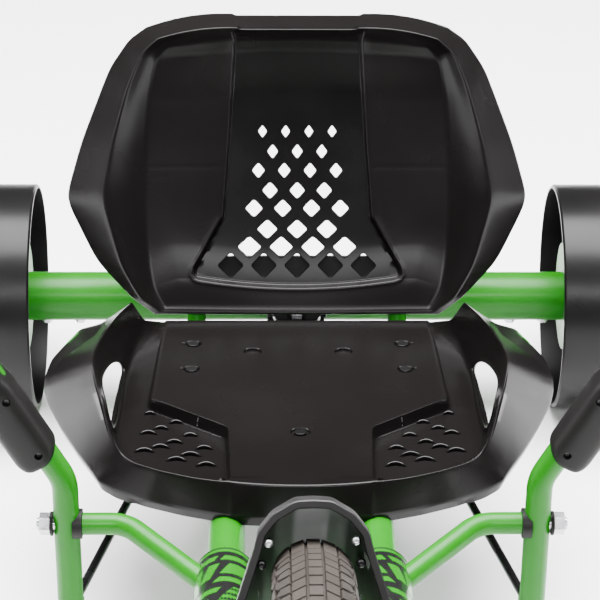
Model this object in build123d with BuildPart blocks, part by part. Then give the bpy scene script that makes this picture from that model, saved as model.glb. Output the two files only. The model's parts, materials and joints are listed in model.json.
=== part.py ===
from build123d import *
import os
from math import atan, cos, degrees, radians, sin, tan

os.makedirs("parts", exist_ok=True)

# Three-wheeled pedal cart: a pedalled front wheel, a bucket seat and a rear axle that swivels
# under the seat, steered by two side levers.  Millimetres, front towards -Y, +Z up, the rider's
# left at +X, origin on the floor in the middle of the overall length and width.

# ---------------------------------------------------------------- driving dimensions
front_wheel_d = 514.0
front_tyre_width = 57.0
rear_wheel_d = 235.0
rear_wheel_width = 115.0
wheelbase = 1072.0
overall_width = 770.0

# Frame tubes.
axle_tube_d = 50.8
front_tube_d = 50.8
rail_d = 31.8
cross_tube_d = 31.8
outrigger_d = 19.0
lever_tube_d = 22.2
post_d = 19.0
tube_wall = 2.0
rail_x = 65.0

# Distances in front of the rear axle.
steer_pivot_ahead = 100.0
rail_end_ahead = 122.0
rail_end_z = 106.5
seat_ahead = 130.0
lever_ahead = 530.0
tube_mouth_ahead = 575.0
lock_bolt_ahead = 650.0
rail_front_ahead = 712.0

# Seat.
seat_z = 166.0
seat_slope = 7.5
seat_wall = 4.0
back_ahead = 140.0
back_z = 174.0
back_recline = 20.0
back_depth = 42.0
dish_depth = 20.0

# Steering.
arm_radius = 105.0
arm_plate_z = 79.0
plate_t = 6.0
rod_d = 8.0
lever_x = 200.0
lever_pivot_z = 200.0
lever_arm = 110.0
lever_bend_z = 245.0
lever_bend_r = 42.0
lever_lean = 28.5
lever_upper = 272.0
grip_length = 104.0
grip_d = 32.0
shroud_length = 143.0
shroud_width = 38.0
shroud_depth = 36.0
shroud_n = 6.0
shroud_start = 15.5

# Pedals.
crank_length = 127.0
spindle_d = 16.0
pedal_length = 92.0

# Clearances.
running = 0.05
joint_gap = 0.3
pin_gap = 2.0

# ---------------------------------------------------------------- derived sizes
front_r = front_wheel_d / 2
frame_slope = degrees(atan((front_r - rail_end_z) / (wheelbase - rail_end_ahead)))
rear_r = rear_wheel_d / 2
overall_length = wheelbase + front_r + rear_r
rear_y = overall_length / 2 - rear_r
front_y = rear_y - wheelbase
axle_r = axle_tube_d / 2
front_tube_r = front_tube_d / 2
rail_r = rail_d / 2
lever_r = lever_tube_d / 2
outrigger_r = outrigger_d / 2
post_r = post_d / 2
rod_r = rod_d / 2
wheel_out_x = overall_width / 2
wheel_in_x = wheel_out_x - rear_wheel_width
SIDES = (("left", 1), ("right", -1))


def ahead(distance):
    """Y of a point this far in front of the rear axle."""
    return rear_y - distance


def frame_z(distance):
    """Height of the frame line, which rises forwards to the front axle."""
    return front_r - (wheelbase - distance) * tan(radians(frame_slope))


def frame_plane(x, distance):
    """Plane square to the frame line, facing forwards."""
    direction = (0, -cos(radians(frame_slope)), sin(radians(frame_slope)))
    return Plane(origin=(x, ahead(distance), frame_z(distance)), x_dir=(1, 0, 0), z_dir=direction)


def slant(distance):
    """Length along the frame line for a distance along the floor."""
    return distance / cos(radians(frame_slope))


def across(x):
    """Plane square to X, with local x to the rear and local y up."""
    return Plane(origin=(x, 0, 0), x_dir=(0, 1, 0), z_dir=(1, 0, 0))


def mirrored(half):
    """Closed outline from the points of its +X half, listed from one end to the other."""
    return half + [(-x, y) for x, y in reversed(half) if x > 0]


def write(part, name):
    """Label one finished piece and write its file."""
    part.label = name
    export_step(part, f"parts/{name}.step")


front_axle = Axis((0, front_y, front_r), (1, 0, 0))
rear_axle = Axis((0, rear_y, rear_r), (1, 0, 0))
front_section = Plane(origin=(0, front_y, front_r), x_dir=(1, 0, 0), z_dir=(0, -1, 0))
rear_section = Plane(origin=(0, rear_y, rear_r), x_dir=(1, 0, 0), z_dir=(0, -1, 0))
seat_plane = Plane(
    origin=(0, ahead(seat_ahead), seat_z),
    x_dir=(1, 0, 0),
    z_dir=(0, sin(radians(seat_slope)), cos(radians(seat_slope))),
)
back_plane = Plane(
    origin=(0, ahead(back_ahead), back_z),
    x_dir=(1, 0, 0),
    z_dir=(0, -cos(radians(back_recline)), sin(radians(back_recline))),
)

# ---------------------------------------------------------------- main frame
head_r = 19.0
head_bore_r = 16.0
head_low_z = 88.0
head_high_z = 147.0
post_bar_r = 11.1
post_bar_z = 134.0
post_bar_ahead = 125.0
post_x = 101.0
cross_ahead = 132.0
pivot_y = ahead(steer_pivot_ahead)
seat_bolt_x = 102.0
seat_bolt_v = (-122.0, -62.0)
bracket_t = 3.0
bracket_in_x = 55.0
bracket_out_x = 115.0
front_bolt_v = -260.0
bolt_r = 3.0
lock_bolt_r = 4.0
leg_t = 4.0
leg_depth = 48.0

with BuildPart() as main_frame:
    for x in (-rail_x, rail_x):
        with BuildSketch(frame_plane(x, rail_end_ahead)):
            Circle(rail_r)
        extrude(amount=slant(rail_front_ahead - rail_end_ahead))
    with BuildSketch(across(-rail_x)):
        with Locations((ahead(cross_ahead), frame_z(cross_ahead))):
            Circle(cross_tube_d / 2)
    extrude(amount=2 * rail_x)
    with BuildSketch(across(-post_x - post_r - 2)):
        with Locations((ahead(post_bar_ahead), post_bar_z)):
            Circle(post_bar_r)
    extrude(amount=2 * (post_x + post_r + 2))
    # Brackets under the seat, with legs that stand on the rails.
    with BuildSketch(seat_plane.offset(-seat_wall)):
        for sign in (1, -1):
            with Locations((sign * (bracket_in_x + bracket_out_x) / 2, sum(seat_bolt_v) / 2)):
                Rectangle(bracket_out_x - bracket_in_x, seat_bolt_v[1] - seat_bolt_v[0] + 24)
        with Locations((0, front_bolt_v)):
            Rectangle(2 * (rail_x - 8), 36)
    extrude(amount=-bracket_t)
    for x in (-rail_x, rail_x):
        with BuildSketch(seat_plane.offset(-seat_wall - bracket_t)):
            with Locations((x, sum(seat_bolt_v) / 2)):
                Rectangle(leg_t, seat_bolt_v[1] - seat_bolt_v[0] + 24)
            with Locations((x - 10 * (x > 0) + 10 * (x < 0), front_bolt_v)):
                Rectangle(leg_t, 36)
        extrude(amount=-leg_depth + seat_wall)
    # Hollow out the rails and the tubes that cross them.
    for x in (-rail_x, rail_x):
        with BuildSketch(frame_plane(x, rail_end_ahead)):
            Circle(rail_r - tube_wall)
        extrude(amount=slant(rail_front_ahead - rail_end_ahead), mode=Mode.SUBTRACT)
    # Steering head at the rear end.
    with BuildSketch(Plane.XY.offset(head_low_z)):
        with Locations((0, pivot_y)):
            Circle(head_r)
    extrude(amount=head_high_z - head_low_z)
    with BuildSketch(Plane.XY.offset(head_low_z)):
        with Locations((0, pivot_y)):
            Circle(head_bore_r)
    extrude(amount=head_high_z - head_low_z, mode=Mode.SUBTRACT)
    # Bolt holes: seat bolts in the brackets, lock bolts across the rails.
    with BuildSketch(seat_plane):
        with Locations(*[(x, v) for x in (-seat_bolt_x, seat_bolt_x) for v in seat_bolt_v]):
            Circle(bolt_r)
        with Locations((0, front_bolt_v)):
            Circle(bolt_r)
    extrude(amount=-seat_wall - bracket_t, mode=Mode.SUBTRACT)
    with BuildSketch(across(-2 * rail_x)):
        with Locations((ahead(lock_bolt_ahead), frame_z(lock_bolt_ahead))):
            Circle(lock_bolt_r)
    extrude(amount=4 * rail_x, mode=Mode.SUBTRACT)
write(main_frame.part, "main_frame")

# ---------------------------------------------------------------- front tubes and their bushes
housing_r = 24.0
housing_in_x = 42.0
housing_out_x = 88.0
bearing_r = 16.0
bearing_width = 11.0
bearing_out_x = 82.0
front_bore_r = front_tube_r - tube_wall
bush_length = 34.0
bush_flange = 3.0
outrigger_join = (86.0, 592.0)
bridge_ahead = 690.0

for side, sign in SIDES:
    with BuildPart() as front_tube:
        with BuildSketch(frame_plane(sign * rail_x, tube_mouth_ahead)):
            Circle(front_tube_r)
        extrude(amount=slant(wheelbase - tube_mouth_ahead))
        with BuildSketch(across(sign * housing_in_x)):
            with Locations((front_y, front_r)):
                Circle(housing_r)
        extrude(amount=sign * (housing_out_x - housing_in_x))
        with BuildSketch(frame_plane(sign * rail_x, tube_mouth_ahead)):
            Circle(front_bore_r)
        extrude(amount=slant(wheelbase - tube_mouth_ahead - housing_r), mode=Mode.SUBTRACT)
        with BuildSketch(across(sign * (rail_x - 2 * front_tube_r))):
            with Locations((front_y, front_r)):
                Circle(bearing_r)
        extrude(amount=sign * 4 * front_tube_r, mode=Mode.SUBTRACT)
        with BuildSketch(across(sign * (rail_x - 2 * front_tube_r))):
            with Locations((ahead(lock_bolt_ahead), frame_z(lock_bolt_ahead))):
                Circle(lock_bolt_r)
        extrude(amount=sign * 4 * front_tube_r, mode=Mode.SUBTRACT)
    write(front_tube.part, f"front_tube_{side}")

with BuildPart() as rail_bushes:
    for x in (-rail_x, rail_x):
        with BuildSketch(frame_plane(x, tube_mouth_ahead).offset(-bush_flange)):
            Circle(front_tube_r)
            Circle(rail_r, mode=Mode.SUBTRACT)
        extrude(amount=bush_flange)
        with BuildSketch(frame_plane(x, tube_mouth_ahead)):
            Circle(front_bore_r)
            Circle(rail_r, mode=Mode.SUBTRACT)
        extrude(amount=bush_length)
        with BuildSketch(frame_plane(x, rail_front_ahead).offset(-bush_length)):
            Circle(front_bore_r)
            Circle(rail_r, mode=Mode.SUBTRACT)
        extrude(amount=bush_length)
write(rail_bushes.part, "rail_bushes")

# Bridge that ties the two front tubes together behind the wheel.
with BuildPart() as fork_bridge:
    with BuildSketch(across(-rail_x)):
        with Locations((ahead(bridge_ahead), frame_z(bridge_ahead))):
            Circle(outrigger_r)
            Circle(outrigger_r - tube_wall, mode=Mode.SUBTRACT)
    extrude(amount=2 * rail_x)
    for x in (-rail_x, rail_x):
        with BuildSketch(frame_plane(x, tube_mouth_ahead)):
            Circle(front_tube_r)
        extrude(amount=slant(wheelbase - tube_mouth_ahead), mode=Mode.SUBTRACT)
write(fork_bridge.part, "fork_bridge")

with BuildPart() as frame_bolts:
    for sign in (1, -1):
        bolt_y = ahead(lock_bolt_ahead)
        bolt_z = frame_z(lock_bolt_ahead)
        grip = 2 * front_tube_r
        with BuildSketch(across(sign * (rail_x - front_tube_r))):
            with Locations((bolt_y, bolt_z)):
                Circle(lock_bolt_r)
        extrude(amount=sign * grip)
        for x, thick in ((rail_x + front_tube_r, 5.5), (rail_x - front_tube_r, -6.5)):
            with BuildSketch(across(sign * x)):
                with Locations((bolt_y, bolt_z)):
                    RegularPolygon(radius=6.5, side_count=6, major_radius=False)
            extrude(amount=sign * thick)
write(frame_bolts.part, "frame_bolts")

# ---------------------------------------------------------------- lever supports
bush_r = 13.0
pivot_bolt_r = 5.0
bush_in_x = lever_x - lever_r - 2.0
outrigger_end_x = bush_in_x - joint_gap
boss_length = 16.0
lever_y = ahead(lever_ahead)
washer_x = lever_x + lever_r + joint_gap
washer_t = 2.6
nut_t = 9.0
outrigger_bend_x = 150.0

for side, sign in SIDES:
    with BuildPart() as outrigger:
        with BuildLine() as route:
            FilletPolyline(
                (sign * outrigger_end_x, lever_y, lever_pivot_z),
                (sign * outrigger_bend_x, lever_y, lever_pivot_z),
                (sign * rail_x, ahead(outrigger_join[1] + 16), frame_z(outrigger_join[1])),
                radius=34,
            )
        with BuildSketch(Plane(origin=route.line @ 0, z_dir=route.line % 0)):
            Circle(outrigger_r)
        sweep()
        with BuildSketch(frame_plane(sign * rail_x, tube_mouth_ahead).offset(-bush_flange)):
            Circle(front_tube_r)
        extrude(amount=slant(wheelbase - tube_mouth_ahead), mode=Mode.SUBTRACT)
        with BuildSketch(across(sign * (outrigger_end_x - boss_length))):
            with Locations((lever_y, lever_pivot_z)):
                Circle(pivot_bolt_r)
        extrude(amount=sign * boss_length, mode=Mode.SUBTRACT)
    write(outrigger.part, f"outrigger_{side}")

with BuildPart() as lever_pivot_bolts:
    for sign in (1, -1):
        with BuildSketch(across(sign * (outrigger_end_x - boss_length))):
            with Locations((lever_y, lever_pivot_z)):
                Circle(pivot_bolt_r)
        extrude(amount=sign * (washer_x + washer_t + nut_t + 2.5 - outrigger_end_x + boss_length))
        with BuildSketch(across(sign * (washer_x + washer_t))):
            with Locations((lever_y, lever_pivot_z)):
                RegularPolygon(radius=8.5, side_count=6, major_radius=False)
        extrude(amount=sign * nut_t)
write(lever_pivot_bolts.part, "lever_pivot_bolts")

with BuildPart() as lever_washers:
    for sign in (1, -1):
        with BuildSketch(across(sign * washer_x)):
            with Locations((lever_y, lever_pivot_z)):
                Circle(10.5)
                Circle(pivot_bolt_r, mode=Mode.SUBTRACT)
        extrude(amount=sign * washer_t)
write(lever_washers.part, "lever_washers")

# ---------------------------------------------------------------- seat pan
# Half outlines on the seat plane: (sideways, towards the rear).
pan_rear_v = -12.0
pan_floor = [(0, -365), (65, -356), (123, -334), (153, -313), (162, -290), (160, -200), (140, -110),
             (134, -60), (130, pan_rear_v), (0, pan_rear_v)]
apron_drop = 30.0
# Side wings: distance along the seat, then (sideways, up) of foot, crest and outer edge.
wing_sections = [
    (-60, (134, -2), (152, 45), (196, 27)),
    (-110, (140, -2), (171, 55), (218, 20)),
    (-167, (148, -2), (181, 55), (237, 10)),
    (-205, (154, -2), (187, 53), (232, 2)),
    (-250, (158, -2), (184, 42), (215, -8)),
    (-275, (160, -2), (176, 26), (204, -13)),
    (-299, (156, -2), (164, 6), (191, -20)),
    (-313, (150, -2), (153, 2), (179, -26)),
]
pocket_depth = 12.0
pocket = [(64, -262), (66, -345), (118, -326), (146, -300), (144, -212)]
keyhole_d = 13.0
pan_hole_d = 17.0
drain_x = 44.0
drain_v = -80.0
# Openings in the inner walls of the wings: (towards the rear, up).
wing_opening = [(-122, 6), (-142, 20), (-190, 34), (-232, 34), (-258, 20), (-262, 8), (-205, 3), (-150, 3)]
wing_opening_x = (130.0, 180.0)

with BuildPart() as seat_pan:
    with BuildSketch(seat_plane):
        Polygon(*mirrored(pan_floor), align=None)
    extrude(amount=-seat_wall)
    # Front apron: a wall that follows the front edge of the floor.
    with BuildSketch(seat_plane):
        Polygon(*mirrored(pan_floor), align=None)
        offset(amount=-seat_wall, kind=Kind.INTERSECTION, mode=Mode.SUBTRACT)
        with Locations((0, -200)):
            Rectangle(600, 400, mode=Mode.INTERSECT)
        with Locations((0, -100)):
            Rectangle(600, 400, mode=Mode.SUBTRACT)
    extrude(amount=-apron_drop)
    # Wings: folded walls with an open underside, crest up and outer edge down.
    for sign in (1, -1):
        for v, foot, crest, edge in wing_sections:
            profile = [foot, crest, edge, (edge[0] - 2, edge[1] - seat_wall),
                       (crest[0], crest[1] - 1.6 * seat_wall), (foot[0], foot[1] - 0.5 * seat_wall)]
            section_plane = Plane(
                origin=seat_plane.from_local_coords((0, v, 0)),
                x_dir=(1, 0, 0),
                z_dir=-seat_plane.y_dir,
            )
            with BuildSketch(section_plane):
                Polygon(*[(sign * x, z) for x, z in profile], align=None)
        loft(ruled=True)
    # Sunken side pockets.
    for sign in (1, -1):
        with BuildSketch(seat_plane):
            Polygon(*[(sign * x, v) for x, v in pocket], align=None)
        extrude(amount=-pocket_depth - seat_wall)
        with BuildSketch(seat_plane):
            Polygon(*[(sign * x, v) for x, v in pocket], align=None)
            offset(amount=-seat_wall, kind=Kind.INTERSECTION, mode=Mode.REPLACE)
        extrude(amount=-pocket_depth, mode=Mode.SUBTRACT)
    # Openings in the inner walls of the wings.
    for sign in (1, -1):
        opening_plane = Plane(
            origin=seat_plane.from_local_coords((sign * wing_opening_x[0], 0, 0)),
            x_dir=seat_plane.y_dir,
            z_dir=(1, 0, 0),
        )
        with BuildSketch(opening_plane):
            Polygon(*wing_opening, align=None)
        extrude(amount=sign * (wing_opening_x[1] - wing_opening_x[0]), mode=Mode.SUBTRACT)
    # Bolt recesses and drain holes.
    with BuildSketch(seat_plane):
        with Locations(*[(x, v) for x in (-seat_bolt_x, seat_bolt_x) for v in seat_bolt_v]):
            Circle(keyhole_d / 2)
        with Locations((0, front_bolt_v)):
            Circle(pan_hole_d / 2)
    extrude(amount=-2, mode=Mode.SUBTRACT)
    with BuildSketch(seat_plane):
        with Locations(*[(x, v) for x in (-seat_bolt_x, seat_bolt_x) for v in seat_bolt_v]):
            Circle(bolt_r)
        with Locations((0, front_bolt_v)):
            Circle(bolt_r)
        with Locations((-drain_x, drain_v), (drain_x, drain_v)):
            Circle(pan_hole_d / 2)
    extrude(amount=-2 * seat_wall, mode=Mode.SUBTRACT)
write(seat_pan.part, "seat_pan")

with BuildPart() as seat_bolts:
    for x, v in [(x, v) for x in (-seat_bolt_x, seat_bolt_x) for v in seat_bolt_v] + [(0, front_bolt_v)]:
        with BuildSketch(seat_plane.offset(-2)):
            with Locations((x, v)):
                Circle(5.5)
        extrude(amount=2.4)
        with BuildSketch(seat_plane.offset(-2)):
            with Locations((x, v)):
                Circle(bolt_r)
        extrude(amount=-12)
        with BuildSketch(seat_plane.offset(-seat_wall - bracket_t)):
            with Locations((x, v)):
                RegularPolygon(radius=5, side_count=6, major_radius=False)
        extrude(amount=-4)
write(seat_bolts.part, "seat_bolts")

# ---------------------------------------------------------------- seat back
# Half outlines on the back plane: (sideways, up).
back_edge = [(0, 16), (148, 18), (187, 40), (217, 72), (231, 114), (215, 170), (185, 245), (158, 282),
             (64, 298), (0, 298)]
back_ridge = [(0, 2), (146, 4), (162, 30), (180, 72), (192, 113), (181, 175), (167, 225), (145, 272),
              (64, 286), (0, 286)]
back_dish = [(0, 14), (138, 14), (146, 40), (149, 75), (150, 114), (148, 175), (144, 225), (136, 264),
             (64, 280), (0, 280)]
# Rows of diamond holes: height, count, pitch, width, height of a hole.
hole_rows = [(182, 4, 23, 9, 13), (162, 3, 24.4, 11, 15), (143, 4, 25.7, 13, 16), (123, 3, 27, 16, 17.5),
             (105, 4, 28.7, 18, 18.5), (84, 3, 29.7, 21, 20), (66, 4, 31.7, 24, 22), (48, 5, 33.2, 25, 25)]
post_k = -(dish_depth + seat_wall + 4 + 4 + post_r)
plate_low, plate_high = 30.0, 57.0
back_bolt_u = (50.0, 178.0)
notch_gap = 1.0


def shrink(points, amount):
    """Outline points moved towards the middle of the back by about the wall thickness."""
    middle = 149.0
    moved = []
    for x, u in points:
        step = amount if u > middle else -amount
        moved.append((x - amount if x > 0 else 0, u - step))
    return moved


with BuildPart() as seat_back:
    with BuildSketch(back_plane.offset(-back_depth)):
        Polygon(*mirrored(back_edge), align=None)
    with BuildSketch(back_plane):
        Polygon(*mirrored(back_ridge), align=None)
    loft(ruled=True)
    with BuildSketch(back_plane.offset(-back_depth - 0.01)):
        Polygon(*mirrored(shrink(back_edge, seat_wall)), align=None)
    with BuildSketch(back_plane.offset(-seat_wall)):
        Polygon(*mirrored(shrink(back_ridge, seat_wall)), align=None)
    loft(ruled=True, mode=Mode.SUBTRACT)
    # Dish in the front face, with its own wall behind it.
    with BuildSketch(back_plane.offset(-seat_wall / 2)):
        Polygon(*mirrored(shrink(back_ridge, 3)), align=None)
    with BuildSketch(back_plane.offset(-dish_depth - seat_wall)):
        Polygon(*mirrored(shrink(back_dish, -3)), align=None)
    loft(ruled=True)
    with BuildSketch(back_plane):
        Polygon(*mirrored(shrink(back_ridge, 5)), align=None)
    with BuildSketch(back_plane.offset(-dish_depth)):
        Polygon(*mirrored(back_dish), align=None)
    loft(ruled=True, mode=Mode.SUBTRACT)
    # Notches in the lower edge, where the posts come up.
    with BuildSketch(back_plane.offset(-back_depth - 1)):
        with Locations((-post_x, back_edge[1][1] / 2), (post_x, back_edge[1][1] / 2)):
            Rectangle(2 * (post_r + notch_gap), back_edge[1][1] + 10)
    extrude(amount=back_depth + 1 + post_k + post_r + notch_gap, mode=Mode.SUBTRACT)
    # Bosses that reach back to the posts and the cross plate.
    for u, reach in zip(back_bolt_u, (4.0, 8.0)):
        with BuildSketch(back_plane.offset(-dish_depth - seat_wall)):
            with Locations((-post_x, u), (post_x, u)):
                Circle(9)
        extrude(amount=-reach)
        with BuildSketch(back_plane.offset(-dish_depth - seat_wall - reach)):
            with Locations((-post_x, u), (post_x, u)):
                Circle(bolt_r)
        extrude(amount=reach + 1, mode=Mode.SUBTRACT)
    # Diamond holes.
    for height, count, pitch, wide, tall in hole_rows:
        with BuildSketch(back_plane):
            with Locations(*[((i - (count - 1) / 2) * pitch, height) for i in range(count)]):
                Polygon((0, -tall / 2), (wide / 2, 0), (0, tall / 2), (-wide / 2, 0), align=None)
        extrude(amount=-dish_depth - 2 * seat_wall, mode=Mode.SUBTRACT)
write(seat_back.part, "seat_back")

with BuildPart() as back_plate:
    with BuildSketch(back_plane.offset(post_k + post_r)):
        with Locations((0, (plate_low + plate_high) / 2)):
            RectangleRounded(2 * post_x + 24, plate_high - plate_low, 6)
        with Locations((-post_x, back_bolt_u[0]), (post_x, back_bolt_u[0])):
            Circle(bolt_r, mode=Mode.SUBTRACT)
    extrude(amount=4)
write(back_plate.part, "back_plate")

with BuildPart() as seat_posts:
    for x in (-post_x, post_x):
        low = (x, ahead(post_bar_ahead), post_bar_z)
        knee = back_plane.from_local_coords((x, 0, post_k))
        top = back_plane.from_local_coords((x, 215, post_k))
        with BuildLine() as post_route:
            FilletPolyline(low, knee, top, radius=45)
        with BuildSketch(Plane(origin=post_route.line @ 0, z_dir=post_route.line % 0)):
            Circle(post_r)
        sweep()
    with BuildSketch(across(-2 * post_x)):
        with Locations((ahead(post_bar_ahead), post_bar_z)):
            Circle(post_bar_r)
    extrude(amount=4 * post_x, mode=Mode.SUBTRACT)
    with BuildSketch(back_plane.offset(post_k - 2 * post_r)):
        with Locations(*[(x, u) for x in (-post_x, post_x) for u in back_bolt_u]):
            Circle(bolt_r)
    extrude(amount=4 * post_r, mode=Mode.SUBTRACT)
write(seat_posts.part, "seat_posts")

with BuildPart() as back_bolts:
    for x in (-post_x, post_x):
        for u in back_bolt_u:
            with BuildSketch(back_plane.offset(post_k - post_r)):
                with Locations((x, u)):
                    Circle(bolt_r)
            extrude(amount=2 * post_r + 8)
            with BuildSketch(back_plane.offset(post_k - post_r)):
                with Locations((x, u)):
                    RegularPolygon(radius=5, side_count=6, major_radius=False)
            extrude(amount=-4)
write(back_bolts.part, "back_bolts")

# ---------------------------------------------------------------- front wheel
rim_step = 3.0
rim_r = front_r - front_tyre_width + rim_step
rim_flange_r = rim_r + 6.0
rim_half = 16.0
rim_inner_r = rim_r - 17.0
tyre_section_r = front_tyre_width / 2
tyre_centre_r = front_r - tyre_section_r
tyre_wall = 4.0
air_tube_r = tyre_section_r - tyre_wall - 1.6
bead_r = rim_flange_r + joint_gap
bead_in_x = 8.5
bead_out_x = rim_half - 2.0 - joint_gap
spindle_r = spindle_d / 2
hub_flange_x = 28.0
hub_flange_r = 27.0
crank_in_x = rail_x + front_tube_r + 4.0
crank_t = 12.0
spoke_count = 28
spoke_r = 1.15

with BuildPart() as front_tyre:
    with BuildSketch(front_section):
        with Locations((0, tyre_centre_r)):
            Circle(tyre_section_r)
            Circle(tyre_section_r - tyre_wall, mode=Mode.SUBTRACT)
        with Locations((0, bead_r - tyre_section_r)):
            Rectangle(4 * tyre_section_r, 2 * tyre_section_r, mode=Mode.SUBTRACT)
        # Beads that sit inside the rim's flanges.
        for sign in (1, -1):
            Polygon(*[(sign * x, r) for x, r in (
                (bead_in_x, rim_r + joint_gap), (bead_out_x, rim_r + joint_gap), (bead_out_x, bead_r),
                (bead_out_x + 7.3, bead_r), (bead_out_x + 5.5, bead_r + 4.7),
                (bead_in_x, rim_r + 3.5))], align=None)
    revolve(axis=front_axle)
write(front_tyre.part, "front_tyre")

with BuildPart() as inner_tube:
    with BuildSketch(front_section):
        with Locations((0, front_r - tyre_wall - joint_gap - air_tube_r)):
            Circle(air_tube_r)
            Circle(air_tube_r - 1.2, mode=Mode.SUBTRACT)
    revolve(axis=front_axle)
write(inner_tube.part, "inner_tube")

with BuildPart() as front_rim:
    with BuildSketch(front_section):
        Polygon(
            (-rim_half, rim_flange_r), (-rim_half, rim_r - 6), (-8, rim_inner_r), (8, rim_inner_r),
            (rim_half, rim_r - 6), (rim_half, rim_flange_r), (rim_half - 2, rim_flange_r),
            (rim_half - 2, rim_r), (8, rim_r - 3), (-8, rim_r - 3), (2 - rim_half, rim_r),
            (2 - rim_half, rim_flange_r), align=None,
        )
        Polygon(
            (-rim_half + 2, rim_r - 3.5), (-7, rim_inner_r + 2), (7, rim_inner_r + 2),
            (rim_half - 2, rim_r - 3.5), (8, rim_r - 5), (-8, rim_r - 5), align=None, mode=Mode.SUBTRACT,
        )
    revolve(axis=front_axle)
write(front_rim.part, "front_rim")

with BuildPart() as front_hub:
    with BuildSketch(front_section):
        Polygon(
            (0, 0), (crank_in_x + crank_t + 1, 0), (crank_in_x + crank_t + 1, spindle_r - running),
            (34, spindle_r - running), (34, 13), (hub_flange_x + 2, 16), (hub_flange_x + 2, hub_flange_r),
            (hub_flange_x - 1, hub_flange_r), (hub_flange_x - 1, 19), (20, 15), (0, 15), align=None,
        )
        mirror(about=Plane.YZ)
    revolve(axis=front_axle)
write(front_hub.part, "front_hub")

with BuildPart() as spokes:
    for i in range(spoke_count):
        turn = 360 / spoke_count * i
        out = cos(radians(turn)), sin(radians(turn))
        sign = 1 if i % 2 else -1
        low = Vector(sign * hub_flange_x, front_y + hub_flange_r * out[0], front_r + hub_flange_r * out[1])
        high = Vector(0, front_y + rim_inner_r * out[0], front_r + rim_inner_r * out[1])
        run = high - low
        with BuildSketch(Plane(origin=low + run * 0.004, z_dir=run)):
            Circle(spoke_r)
        extrude(amount=run.length * 0.99)
write(spokes.part, "spokes")

with BuildPart() as wheel_bearings:
    for sign in (1, -1):
        with BuildSketch(across(sign * (bearing_out_x - bearing_width))):
            with Locations((front_y, front_r)):
                Circle(bearing_r)
                Circle(spindle_r, mode=Mode.SUBTRACT)
        extrude(amount=sign * bearing_width)
write(wheel_bearings.part, "wheel_bearings")

# ---------------------------------------------------------------- cranks and pedals
crank_boss_r = 15.0
crank_eye_r = 11.0
pedal_pin_r = 6.0
pedal_in_x = crank_in_x + crank_t + 3.0
pedal_half = 48.0
pedal_t = 24.0
pedal_sleeve_r = 10.0

for side, sign in SIDES:
    pin_y = front_y - sign * crank_length
    with BuildPart() as crank:
        with BuildSketch(across(sign * crank_in_x)):
            with Locations((front_y, front_r)):
                Circle(crank_boss_r)
            with Locations((pin_y, front_r)):
                Circle(crank_eye_r)
            with Locations(((front_y + pin_y) / 2, front_r)):
                Rectangle(crank_length, 18)
            with Locations((front_y, front_r)):
                Circle(spindle_r - running, mode=Mode.SUBTRACT)
            with Locations((pin_y, front_r)):
                Circle(pedal_pin_r, mode=Mode.SUBTRACT)
        extrude(amount=sign * crank_t)
    write(crank.part, f"crank_{side}")

    with BuildPart() as pedal:
        with BuildSketch(Plane.XY.offset(front_r - pedal_t / 2)):
            with Locations((sign * (pedal_in_x + pedal_length / 2), pin_y)):
                RectangleRounded(pedal_length, 2 * pedal_half, 12)
                RectangleRounded(pedal_length - 16, 2 * pedal_half - 16, 8, mode=Mode.SUBTRACT)
                Rectangle(pedal_length - 8, 2 * pedal_sleeve_r)
                with Locations((0, pedal_half / 2), (0, -pedal_half / 2)):
                    Rectangle(pedal_length - 8, 5)
        extrude(amount=pedal_t)
        with BuildSketch(across(sign * pedal_in_x)):
            with Locations((pin_y, front_r)):
                Circle(pedal_pin_r + running)
        extrude(amount=sign * pedal_length, mode=Mode.SUBTRACT)
    write(pedal.part, f"pedal_{side}")

with BuildPart() as pedal_pins:
    for side, sign in SIDES:
        pin_y = front_y - sign * crank_length
        with BuildSketch(across(sign * crank_in_x)):
            with Locations((pin_y, front_r)):
                Circle(pedal_pin_r)
        extrude(amount=sign * (pedal_in_x + pedal_length - crank_in_x + 2))
        with BuildSketch(across(sign * (pedal_in_x + pedal_length + joint_gap))):
            with Locations((pin_y, front_r)):
                RegularPolygon(radius=8, side_count=6, major_radius=False)
        extrude(amount=sign * 4)
write(pedal_pins.part, "pedal_pins")

# ---------------------------------------------------------------- fender over the front wheel
fender_start = 26.7
fender_end = 80.0
cheek_end = 74.0
fender_wall = 3.5
fender_shape = [(0, 285), (12, 284), (27, 275), (36, 264), (39, 252)]
cheek_shape = [(39, 252), (48, 224), (58, 192)]


def behind(angle):
    """Section plane through the front axle, turned back from straight up."""
    return Plane(
        origin=(0, front_y, front_r),
        x_dir=(1, 0, 0),
        z_dir=(0, -cos(radians(angle)), sin(radians(angle))),
    )


def wall_strip(points, wall):
    """Closed strip of one wall thickness inside a line of points."""
    return points + [(max(x - wall, 0) if x > 20 else x, r - wall if x < 37 else r)
                     for x, r in reversed(points)]


with BuildPart() as fender:
    with BuildSketch(behind(fender_start)):
        Polygon(*wall_strip(fender_shape, fender_wall), align=None)
        mirror(about=Plane.YZ)
    revolve(axis=front_axle, revolution_arc=-(fender_end - fender_start))
write(fender.part, "fender")

for side, sign in SIDES:
    with BuildPart() as cheek:
        with BuildSketch(behind(fender_start)):
            Polygon(*[(sign * x, r) for x, r in wall_strip(cheek_shape, fender_wall)], align=None)
        revolve(axis=front_axle, revolution_arc=-(cheek_end - fender_start))
    write(cheek.part, f"fender_cheek_{side}")

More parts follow.
